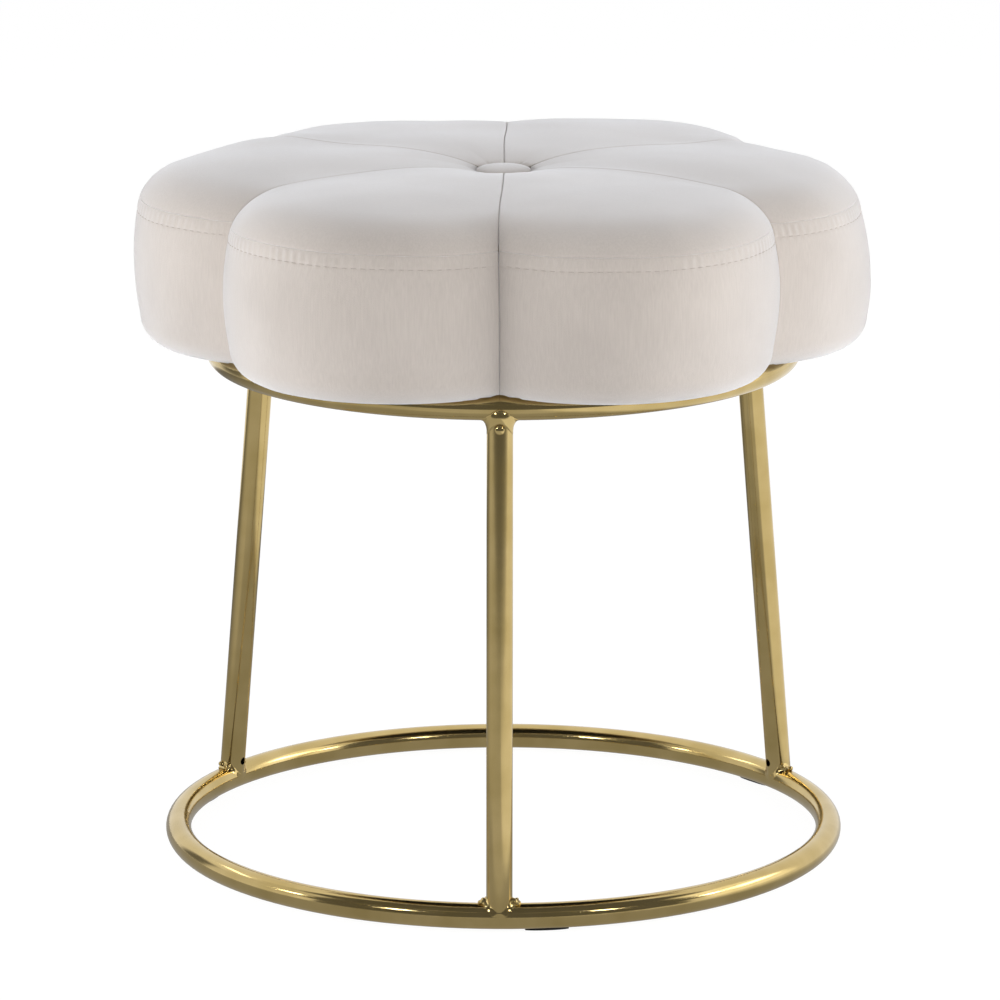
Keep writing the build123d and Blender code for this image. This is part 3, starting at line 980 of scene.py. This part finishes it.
    def button(self) -> bpy.types.Object:
        """Makes the covered button: a low velvet dome whose rim turns in below."""
        low, high = (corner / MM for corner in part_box("tuft_button"))
        radius = (high.x - low.x) / 2
        top = high.z - self.button_sink
        section = [
            Vector((0, 0, top)),
            Vector((radius * 0.35, 0, top - 0.25)),
            Vector((radius * 0.65, 0, top - 1.0)),
            Vector((radius * 0.88, 0, top - 2.1)),
            Vector((radius * 0.98, 0, top - 3.1)),
            Vector((radius, 0, top - 4.0)),
            Vector((radius * 0.95, 0, top - 5.0)),
            Vector((radius * 0.8, 0, top - 5.6)),
            Vector((0, 0, top - 5.8)),
        ]
        shape = bmesh.new()
        verts = [shape.verts.new(point) for point in section]
        edges = [shape.edges.new(pair) for pair in zip(verts, verts[1:])]
        bmesh.ops.spin(shape, geom=verts + edges, cent=(0, 0, 0), axis=(0, 0, 1), angle=FULL_TURN,
                       steps=72, use_merge=True)
        bmesh.ops.remove_doubles(shape, verts=shape.verts, dist=0.001)
        bmesh.ops.recalc_face_normals(shape, faces=shape.faces)
        for vert in shape.verts:
            azimuth = math.atan2(vert.co.y, vert.co.x)
            rim = smooth_step(radius * 0.7, radius, math.hypot(vert.co.x, vert.co.y))
            vert.co.z += rim * 0.22 * noise.noise(Vector((math.cos(azimuth), math.sin(azimuth), 0)) * 4)
        piece = finish_mesh(shape, "velvet_button", self.velvet)
        rounding = piece.modifiers.new("rounding", "SUBSURF")
        rounding.levels = rounding.render_levels = 2
        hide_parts("tuft_button")
        return piece

    def build(self) -> list[bpy.types.Object]:
        """Makes every piece of the cushion."""
        pieces = [self.foam_core(), self.button()]
        for number in range(1, self.petal_count + 1):
            panel, line = self.side_panel(number)
            pieces += [self.top_panel(number), panel, self.topstitch(number, line)]
        return pieces


@dataclass(frozen=True)
class TubeJoint:
    """Joint of a leg on a ring, drawn on the +X side, in millimetres.

    Both are tubes of one radius. Away is the leg's direction from the ring.
    """

    ring_radius: float
    ring_z: float
    tube_radius: float
    away: Vector

    @property
    def core(self) -> Vector:
        """Point where the two tubes' axes meet."""
        return Vector((self.ring_radius, 0, self.ring_z))

    def across(self, turn: float) -> Vector:
        """Way out from the leg's axis at a turn about it, 0 away from the stool's axis."""
        out = Vector((abs(self.away.z), 0, -self.away.x * math.copysign(1, self.away.z)))
        return out * math.cos(turn) + Vector((0, math.sin(turn), 0))

    def saddle(self, turn: float, rounded: float) -> Vector:
        """Point of the line on which the two tubes' faces meet.

        Args:
            turn: turn about the leg's axis.
            rounded: radius that takes the line's sharp turn at the leg's front and back.

        Returns:
            The point.
        """
        side = math.sin(turn) ** 2
        along = math.hypot(self.tube_radius * math.sin(turn), rounded) - rounded * (1 - side)
        along -= (math.hypot(self.tube_radius, rounded) - self.tube_radius) * side
        return self.core + self.across(turn) * self.tube_radius + self.away * along

    def on_ring(self, place: Vector, sunk: float = 0.0) -> Vector:
        """Nearest point of the ring's face, or of a face sunk below it."""
        core = Vector((place.x, place.y, 0)).normalized() * self.ring_radius
        core.z = self.ring_z
        return core + (place - core).normalized() * (self.tube_radius - sunk)


@dataclass(frozen=True)
class Fillet:
    """Smooth weld round a leg's end, in millimetres, at the leg's sides and at its front.

    Climb is how far it runs up the leg, spread how far along the ring, and swell how far
    it stands out of the corner between them.
    """

    climb: tuple[float, float]
    spread: tuple[float, float]
    swell: tuple[float, float]
    rounded: float = 4.0
    sunk: float = 0.4

    def section(self, joint: TubeJoint, turn: float, steps: int) -> list[Vector]:
        """Closed section of the weld at a turn about the leg.

        Args:
            joint: joint that the weld closes.
            turn: turn about the leg's axis.
            steps: steps from the leg to the ring.

        Returns:
            The section's points, from the leg to the ring and back inside the tubes.
        """
        side = math.sin(turn) ** 2
        climb, spread, swell = (
            at_side * side + at_front * (1 - side) for at_side, at_front in (self.climb, self.spread, self.swell)
        )
        across, corner = joint.across(turn), joint.saddle(turn, self.rounded)
        leg = corner + joint.away * climb
        ring = joint.on_ring(corner + across * spread * side - joint.away * spread * (1 - side))
        pull = corner.lerp((leg + ring) / 2, 1 - side) + across * swell
        points = [leg - across * self.sunk]
        for step in range(steps + 1):
            share = step / steps
            points.append(leg * (1 - share) ** 2 + pull * 2 * share * (1 - share) + ring * share**2)
        points += [joint.on_ring(ring, self.sunk), joint.on_ring(corner - across, self.sunk)]
        return points


@dataclass
class WeldedFrame:
    """Brass-plated frame: tubes and tabs as packed, with smooth welds and crumpled beads."""

    plate: BrassPlate = field(default_factory=BrassPlate)
    tube_radius: float = 8.0
    ring_radius: float = 208.0
    head_radius: float = 179.0
    ring_z: float = 9.0
    rise: float = 310.0
    leg_turns: tuple[float, ...] = (-90.0, 30.0, 150.0)
    foot_fillet: Fillet = Fillet(climb=(4.5, 4.0), spread=(3.0, 2.4), swell=(0.5, 0.5), rounded=6.0)
    head_fillet: Fillet = Fillet(climb=(8.5, 10.0), spread=(3.8, -0.6), swell=(0.0, 2.2))
    columns: int = 56
    steps: int = 7
    lump_count: int = 16
    lump_radius: float = 1.75
    lump_reach: float = 6.0
    lump_seed: int = 7
    voxel: float = 0.4
    plug_radius: float = 2.9
    plug_drop: float = 13.2
    plug_rise: float = 0.8
    plated: tuple[str, ...] = (
        "floor_ring", "seat_ring", "leg_front", "leg_rear_right", "leg_rear_left",
        "mounting_tab_right", "mounting_tab_rear", "mounting_tab_left", "tab_welds",
    )

    @property
    def up(self) -> Vector:
        """Way up along a leg on the +X side."""
        return Vector((self.head_radius - self.ring_radius, 0, self.rise)).normalized()

    def weld(self, shape: BMesh, joint: TubeJoint, fillet: Fillet, place: Matrix) -> None:
        """Lays one closed fillet round a leg's end.

        Args:
            shape: mesh that gets the fillet.
            joint: joint, on the +X side.
            fillet: form of the weld.
            place: turn that takes the +X side to the leg.
        """
        sections = [fillet.section(joint, FULL_TURN * column / self.columns, self.steps) for column in range(self.columns)]
        rings = [[shape.verts.new(place @ point) for point in section] for section in sections]
        for ring, ahead in zip(rings, rings[1:] + rings[:1]):
            for at in range(len(ring)):
                shape.faces.new((ring[at - 1], ring[at], ahead[at], ahead[at - 1]))

    def lumps(self, shape: BMesh, joint: TubeJoint, place: Matrix, draw: Random) -> None:
        """Heaps crumpled drops on both sides of a foot, where the torch has stopped.

        Args:
            shape: mesh that gets the drops.
            joint: joint of the foot, on the +X side.
            place: turn that takes the +X side to the leg.
            draw: seeded source of the drops' places and sizes.
        """
        for side in (-1, 1):
            reach = self.lump_reach * draw.uniform(0.55, 1.0)
            for _ in range(self.lump_count):
                beside = reach * draw.random() ** 1.5
                over = Vector((draw.uniform(-6.5, 6.5), side * (self.tube_radius + beside), 2 * self.tube_radius))
                centre = joint.on_ring(joint.core + over, -0.3)
                centre += joint.away * draw.uniform(0, 3.2) * (1 - beside / self.lump_reach)
                size = self.lump_radius * draw.uniform(0.5, 1.15) * (1 - 0.45 * beside / self.lump_reach)
                drop = bmesh.ops.create_icosphere(shape, subdivisions=2, radius=size,
                                                  matrix=place @ Matrix.Translation(centre))
                for vert in drop["verts"]:
                    vert.co += noise.noise_vector(vert.co / 1.4) * 0.6

    def foot_beads(self) -> bpy.types.Object:
        """Welds the feet: a smooth fillet all round, with crumpled beads at the sides."""
        shape = bmesh.new()
        joint = TubeJoint(self.ring_radius, self.ring_z, self.tube_radius, self.up)
        draw = Random(self.lump_seed)
        for leg_turn in self.leg_turns:
            place = Matrix.Rotation(math.radians(leg_turn), 4, "Z")
            self.weld(shape, joint, self.foot_fillet, place)
            self.lumps(shape, joint, place, draw)
        bmesh.ops.recalc_face_normals(shape, faces=shape.faces)
        beads = finish_mesh(shape, "foot_beads", self.plate)
        fuse = beads.modifiers.new("fuse", "REMESH")
        fuse.mode, fuse.voxel_size, fuse.use_smooth_shade = "VOXEL", self.voxel * MM, True
        soften = beads.modifiers.new("soften", "SMOOTH")
        soften.factor, soften.iterations = 0.5, 3
        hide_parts("foot_welds")
        return beads

    def head_fillets(self) -> bpy.types.Object:
        """Welds the legs' heads, each with the low bump of a closed vent hole below it."""
        shape = bmesh.new()
        joint = TubeJoint(self.head_radius, self.ring_z + self.rise, self.tube_radius, -self.up)
        for leg_turn in self.leg_turns:
            place = Matrix.Rotation(math.radians(leg_turn), 4, "Z")
            self.weld(shape, joint, self.head_fillet, place)
            out = joint.across(0)
            middle = joint.core + out * (self.tube_radius - 0.3) + joint.away * self.plug_drop
            axes = Matrix((joint.away * self.plug_radius, Vector((0, self.plug_radius, 0)),
                           out * (self.plug_rise + 0.3))).transposed().to_4x4()
            bmesh.ops.create_uvsphere(shape, u_segments=28, v_segments=14, radius=1,
                                      matrix=place @ Matrix.Translation(middle) @ axes)
        bmesh.ops.recalc_face_normals(shape, faces=shape.faces)
        fillets = finish_mesh(shape, "head_fillets", self.plate)
        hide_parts("head_welds")
        return fillets

    def build(self, frame: Frame) -> list[bpy.types.Object]:
        """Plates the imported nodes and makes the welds."""
        for node in self.plated:
            dress_node(frame, node, self.plate)
        return [self.foot_beads(), self.head_fillets()]


def dress_node(frame: Frame, node: str, finish: Finish) -> None:
    """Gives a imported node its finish."""
    mesh = frame["nodes"][node].data
    mesh.materials.clear()
    mesh.materials.append(finish.material())


@dataclass
class Underside:
    """Board and fasteners, which stay as packed, with a slack dust cloth and rubber glides."""

    zinc: ZincPlate = field(default_factory=ZincPlate)
    plywood: Plywood = field(default_factory=Plywood)
    cloth: NonWoven = field(default_factory=NonWoven)
    rubber: Rubber = field(default_factory=Rubber)
    nylon: Nylon = field(default_factory=Nylon)
    staple_circle: float = 164.0
    staple_count: int = 18
    cloth_wall: float = 0.25
    cloth_sag: float = 1.6
    cloth_crease: float = 0.5
    tab_reach: float = 118.0
    tab_turns: tuple[float, ...] = (-30.0, 90.0, 210.0)
    ring_radius: float = 208.0
    glide_half_length: float = 13.5
    glide_half_width: float = 1.9
    glide_height: float = 1.7
    glide_offset: float = 0.3
    glide_turns: tuple[float, ...] = (-82.0, 38.0, 158.0)

    def build(self, frame: Frame) -> list[bpy.types.Object]:
        """Dresses every node below the cushion that isn't plated, and makes cloth and glides."""
        finishes = {"seat_board": self.plywood, "button_tie": self.nylon}
        for node in ("seat_screws", "spring_washers", "flat_washers", "tee_nuts", "tie_anchor", "staples"):
            finishes[node] = self.zinc
        for node, finish in finishes.items():
            dress_node(frame, node, finish)
        return [self.dust_cloth(), self.glides()]

    def dust_cloth(self) -> bpy.types.Object:
        """Stretches the black cloth below the board, slack between its staples and tabs."""
        low, high = (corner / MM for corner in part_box("dust_cover"))
        radius = (high.x - low.x) / 2
        shape = bmesh.new()
        bmesh.ops.create_circle(shape, cap_ends=False, segments=216, radius=radius)
        rim = list(shape.edges)
        for reach in (0.992, 0.975, 0.95, 0.9, 0.84, 0.77, 0.69, 0.6, 0.5, 0.4, 0.3, 0.2, 0.1):
            grown = bmesh.ops.extrude_edge_only(shape, edges=rim)["geom"]
            for vert in (item for item in grown if isinstance(item, BMVert)):
                vert.co *= reach * radius / vert.co.length
            rim = [item for item in grown if isinstance(item, BMEdge)]
        bmesh.ops.contextual_create(shape, geom=rim)
        for vert in shape.verts:
            vert.co.z = high.z - self.slack(vert.co)
        bmesh.ops.recalc_face_normals(shape, faces=shape.faces)
        if sum(face.normal.z for face in shape.faces) < 0:
            bmesh.ops.reverse_faces(shape, faces=shape.faces)
        cloth = finish_mesh(shape, "dust_cloth", self.cloth)
        give_wall(cloth, self.cloth_wall)
        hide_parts("dust_cover")
        return cloth

    def slack(self, place: Vector) -> float:
        """How far the dust cloth hangs below the board at a point."""
        reach, turn = math.hypot(place.x, place.y), math.atan2(place.y, place.x)
        held = smooth_step(self.staple_circle - 4, self.staple_circle - 60, reach)
        for tab_turn in self.tab_turns:
            away = abs(math.remainder(turn - math.radians(tab_turn), FULL_TURN)) * reach
            clear = max(smooth_step(16, 60, away), 1 - smooth_step(self.tab_reach - 45, self.tab_reach - 12, reach))
            held *= clear
        middle = smooth_step(15, 70, reach)
        crease = noise.noise(Vector((place.x / 45, place.y / 45, 3.0)))
        scallop = max(math.cos(turn * self.staple_count + math.pi), 0) * hump(self.staple_circle - 6, 9, reach)
        return max(held * middle * (self.cloth_sag + self.cloth_crease * crease), 0) + 0.25 * scallop

    def glides(self) -> bpy.types.Object:
        """Sticks a thin oval rubber glide under the floor ring beside each leg."""
        shape = bmesh.new()
        for glide_turn in self.glide_turns:
            pad = bmesh.ops.create_cone(shape, cap_ends=True, segments=48, radius1=1, radius2=1, depth=1)["verts"]
            bmesh.ops.scale(shape, verts=pad, vec=(self.glide_half_width, self.glide_half_length, self.glide_height))
            for vert in pad:
                bend = vert.co.y**2 / (2 * self.ring_radius)
                vert.co += Vector((self.ring_radius + self.glide_offset - bend, 0, self.glide_height / 2))
            bmesh.ops.rotate(shape, verts=pad, cent=(0, 0, 0), matrix=Matrix.Rotation(math.radians(glide_turn), 3, "Z"))
        edges = [edge for edge in shape.edges if abs(edge.verts[0].co.z - edge.verts[1].co.z) < 1e-4]
        bmesh.ops.bevel(shape, geom=edges, offset=0.25, offset_type="OFFSET", segments=2, profile=0.5,
                        affect="EDGES", material=-1)
        bmesh.ops.recalc_face_normals(shape, faces=shape.faces)
        pads = finish_mesh(shape, "rubber_glides", self.rubber)
        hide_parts("glide_pads")
        return pads


@dataclass(frozen=True)
class Softbox:
    """Square soft lamp, placed in metres, that faces the stool."""

    name: str
    place: tuple[float, float, float]
    size: float
    power: float


@dataclass(frozen=True)
class Flag:
    """Card that only the metal's reflections show, placed and sized in metres.

    It lies flat, and is tilted about its width and then turned about the upright axis.
    Soft is the share of its half width over which its edges fade.
    """

    name: str
    place: tuple[float, float, float]
    size: tuple[float, float]
    shade: float
    tilt: float = 0.0
    turn: float = 0.0
    soft: float = 0.1

    @classmethod
    def glint(cls, name: str, turn: float, rise: float, size: tuple[float, float], shade: float) -> "Flag":
        """Card that faces the stool from a turn and a rise in degrees, 0 in front.

        Args:
            name: name of the card.
            turn: turn from the front towards the right.
            rise: angle above the floor.
            size: width and height, in metres.
            shade: brightness, where 1 is white.

        Returns:
            The card, 2.3 m from the middle of the floor under the stool, nearer than the side cards.
        """
        reach, lifted, turned = 2.3, math.radians(rise), math.radians(turn)
        flat = reach * math.cos(lifted)
        place = (flat * math.sin(turned), -flat * math.cos(turned), reach * math.sin(lifted))
        return cls(name, place, size, shade, math.radians(90) + lifted, turned, 0.6)


@dataclass
class Studio:
    """White surround, pale floor, soft lamps, and the cards that the metal reflects.

    The cards are a dark room in front and overhead, a grey floor, and a white card at each
    side with a bright core, as round a photographer's table.
    """

    floor_colour: str = "#FAFAFA"
    floor_size: float = 12.0
    floor_gap: float = 0.0004
    floor_white_share: float = 0.88
    floor_white: float = 1.08
    horizon_light: float = 0.92
    zenith_light: float = 0.1
    aim: Vector = field(default_factory=lambda: Vector((0, 0, 0.25)))
    lamps: tuple[Softbox, ...] = (
        Softbox("left_softbox", (-2.3, -0.6, 0.7), 1.4, 37),
        Softbox("right_softbox", (2.3, -0.7, 0.7), 1.6, 43),
        Softbox("back_softbox", (0.3, 2.2, 2.3), 1.4, 8),
    )
    flags: tuple[Flag, ...] = (
        Flag("dark_ceiling", (0.0, -2.9, 3.2), (19.0, 6.8), 0.13, soft=0.06),
        Flag("dark_front", (0.0, -4.5, 1.6), (19.0, 3.2), 0.14, tilt=math.radians(90), soft=0.02),
        Flag("dark_floor", (0.0, -3.0, -0.0002), (19.0, 8.0), 0.22, soft=0.04),
        Flag("grey_floor", (0.0, -1.5, 0.0), (19.0, 4.4), 0.57, soft=0.5),
        Flag("shaded_floor", (0.0, 0.0, 0.0001), (1.1, 1.1), 0.4, soft=0.4),
        Flag("bright_floor", (3.2, 0.1, 0.0002), (6.05, 3.8), 1.0, soft=0.04),
        Flag("right_card", (2.4, 0.05, 1.4), (2.1, 3.0), 1.6, math.radians(90), math.radians(90), 0.3),
        Flag("left_card", (-2.4, 0.05, 1.4), (2.1, 3.0), 0.85, math.radians(90), math.radians(90), 0.3),
        Flag.glint("left_gap", -122, 13, (1.0, 1.5), 0.2),
        Flag.glint("right_core", 95, 27, (1.0, 0.9), 6.0),
        Flag.glint("left_core", -120, 37, (0.9, 0.6), 5.0),
        Flag.glint("front_strip", -30, 42, (1.9, 1.2), 0.85),
        Flag.glint("front_right_strip", 20, 38, (1.3, 0.6), 0.4),
        Flag.glint("front_left_glint", -35, 29, (0.34, 0.22), 55.0),
        Flag.glint("front_right_glint", 35, 29, (0.34, 0.22), 40.0),
        Flag.glint("left_glint", -76, 27, (0.36, 0.26), 22.0),
        Flag.glint("right_glint", 76, 27, (0.36, 0.26), 22.0),
    )

    def floor(self) -> bpy.types.Object:
        """Lays a floor that the camera sees as white, with the stool's soft shadow."""
        paint = bpy.data.materials.new("matt_studio_floor")
        paint.use_nodes = True
        tree = paint.node_tree
        tree.nodes.clear()
        ray = add_node(tree, "ShaderNodeLightPath").outputs
        shown = add_node(tree, "ShaderNodeMath", {"operation": "MAXIMUM"},
                         {0: ray["Is Camera Ray"], 1: ray["Is Glossy Ray"]})
        seen = add_node(tree, "ShaderNodeMath", {"operation": "MULTIPLY", 1: self.floor_white_share},
                        {0: shown.outputs[0]})
        matt = add_node(tree, "ShaderNodeBsdfDiffuse", {"Color": linear(self.floor_colour)})
        white = add_node(tree, "ShaderNodeEmission", {"Color": (1, 1, 1, 1), "Strength": self.floor_white})
        links = {0: seen.outputs[0], 1: matt.outputs[0], 2: white.outputs[0]}
        mixed = add_node(tree, "ShaderNodeMixShader", links=links)
        below = add_node(tree, "ShaderNodeNewGeometry").outputs["Backfacing"]
        clear = add_node(tree, "ShaderNodeBsdfTransparent")
        sided = add_node(tree, "ShaderNodeMixShader", links={0: below, 1: mixed.outputs[0], 2: clear.outputs[0]})
        add_node(tree, "ShaderNodeOutputMaterial", links={"Surface": sided.outputs[0]})
        size = (self.floor_size, self.floor_size)
        return self.card("studio_floor", size, (0, 0, -self.floor_gap), Matrix.Identity(3), paint)

    def card(
        self,
        name: str,
        size: tuple[float, float],
        place: tuple[float, float, float],
        turned: Matrix,
        paint: bpy.types.Material,
    ) -> bpy.types.Object:
        """Stands up a flat card of the stage.

        Args:
            name: name of the card.
            size: width and depth, in metres.
            place: middle of the card, in metres.
            turned: how it is turned from lying flat.
            paint: material of the card.

        Returns:
            The card, which isn't part of the stool.
        """
        shape = bmesh.new()
        shape.loops.layers.uv.new("card")
        bmesh.ops.create_grid(shape, x_segments=1, y_segments=1, size=0.5, calc_uvs=True)
        bmesh.ops.scale(shape, verts=shape.verts, vec=(*size, 1))
        bmesh.ops.rotate(shape, verts=shape.verts, cent=(0, 0, 0), matrix=turned)
        bmesh.ops.translate(shape, verts=shape.verts, vec=place)
        mesh = bpy.data.meshes.new(name)
        shape.to_mesh(mesh)
        shape.free()
        mesh.materials.append(paint)
        card = bpy.data.objects.new(name, mesh)
        bpy.context.scene.collection.objects.link(card)
        return card

    def flag(self, flag: Flag) -> None:
        """Puts up a card that only reflections see."""
        paint = bpy.data.materials.new(flag.name)
        paint.use_nodes = True
        tree = paint.node_tree
        tree.nodes.clear()
        glow = add_node(tree, "ShaderNodeEmission", {"Color": (1, 1, 1, 1), "Strength": flag.shade})
        clear = add_node(tree, "ShaderNodeBsdfTransparent")
        place = add_node(tree, "ShaderNodeSeparateXYZ", links={0: add_node(tree, "ShaderNodeTexCoord").outputs["UV"]})
        edges = []
        for axis in ("X", "Y"):
            edge = add_node(tree, "ShaderNodeMath", {"operation": "PINGPONG", 1: 0.5}, {0: place.outputs[axis]})
            settings = {"interpolation_type": "SMOOTHSTEP", "From Min": 0.0, "From Max": flag.soft / 2}
            edges.append(add_node(tree, "ShaderNodeMapRange", settings, {"Value": edge.outputs[0]}).outputs["Result"])
        solid = add_node(tree, "ShaderNodeMath", {"operation": "MULTIPLY"}, {0: edges[0], 1: edges[1]}).outputs[0]
        mixed = add_node(tree, "ShaderNodeMixShader", links={0: solid, 1: clear.outputs[0], 2: glow.outputs[0]})
        add_node(tree, "ShaderNodeOutputMaterial", links={"Surface": mixed.outputs[0]})
        turned = Matrix.Rotation(flag.turn, 3, "Z") @ Matrix.Rotation(flag.tilt, 3, "X")
        card = self.card(flag.name, flag.size, flag.place, turned, paint)
        card.visible_camera = card.visible_diffuse = card.visible_shadow = card.visible_transmission = False

    def surround(self) -> None:
        """Makes the world white to the camera and to reflections, and softer as a light."""
        world = bpy.data.worlds.new("white_surround")
        bpy.context.scene.world = world
        world.use_nodes = True
        tree = world.node_tree
        tree.nodes.clear()
        ray = add_node(tree, "ShaderNodeLightPath").outputs
        shown = add_node(tree, "ShaderNodeMath", {"operation": "MAXIMUM"},
                         {0: ray["Is Camera Ray"], 1: ray["Is Glossy Ray"]})
        white = (1, 1, 1, 1)
        way = add_node(tree, "ShaderNodeTexCoord").outputs["Generated"]
        height = add_node(tree, "ShaderNodeSeparateXYZ", links={0: way}).outputs["Z"]
        level = remap(tree, height, 0.0, 1.0, (self.horizon_light, self.zenith_light))
        light = add_node(tree, "ShaderNodeBackground", {"Color": white}, {"Strength": level})
        seen = add_node(tree, "ShaderNodeBackground", {"Color": white, "Strength": 1.0})
        links = {0: shown.outputs[0], 1: light.outputs[0], 2: seen.outputs[0]}
        mixed = add_node(tree, "ShaderNodeMixShader", links=links)
        add_node(tree, "ShaderNodeOutputWorld", links={"Surface": mixed.outputs[0]})

    def build(self) -> None:
        """Sets up floor, surround, lamps and cards."""
        self.floor()
        self.surround()
        for flag in self.flags:
            self.flag(flag)
        for box in self.lamps:
            data = bpy.data.lights.new(box.name, "AREA")
            data.shape, data.size, data.energy = "SQUARE", box.size, box.power
            lamp = bpy.data.objects.new(box.name, data)
            lamp.location = box.place
            lamp.rotation_euler = (self.aim - lamp.location).to_track_quat("-Z", "Y").to_euler()
            lamp.visible_glossy = False
            bpy.context.scene.collection.objects.link(lamp)
        bpy.context.scene.view_settings.view_transform = "Standard"


@dataclass
class PhotoCamera:
    """Camera where the photographer's stood, fitted to the two rings and the legs."""

    place: tuple[float, float, float] = (0.0445, -3.7158, 1.0803)
    tilt: float = math.radians(76.97)
    yaw: float = math.radians(0.72)
    lens: float = 216.8
    sensor: float = 36.0

    def build(self) -> None:
        """Makes the camera the scene's own."""
        data = bpy.data.cameras.new("photo_camera")
        data.lens, data.sensor_width = self.lens, self.sensor
        data.clip_end = 50.0
        camera = bpy.data.objects.new("photo_camera", data)
        camera.location = self.place
        camera.rotation_euler = (self.tilt, 0.0, self.yaw)
        bpy.context.scene.collection.objects.link(camera)
        bpy.context.scene.camera = camera


def main() -> None:
    """Builds the stool round its frame, then the studio and the camera."""
    logging.basicConfig(level=logging.INFO, format="%(name)s: %(message)s")
    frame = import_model()
    PhotoCamera().build()
    pieces = Cushion(PetalForm()).build()
    pieces += WeldedFrame().build(frame)
    pieces += Underside().build(frame)
    Studio().build()
    for piece in pieces:
        log.info("%s: %d faces", piece.name, len(piece.data.polygons))


if __name__ == "__main__":
    main()
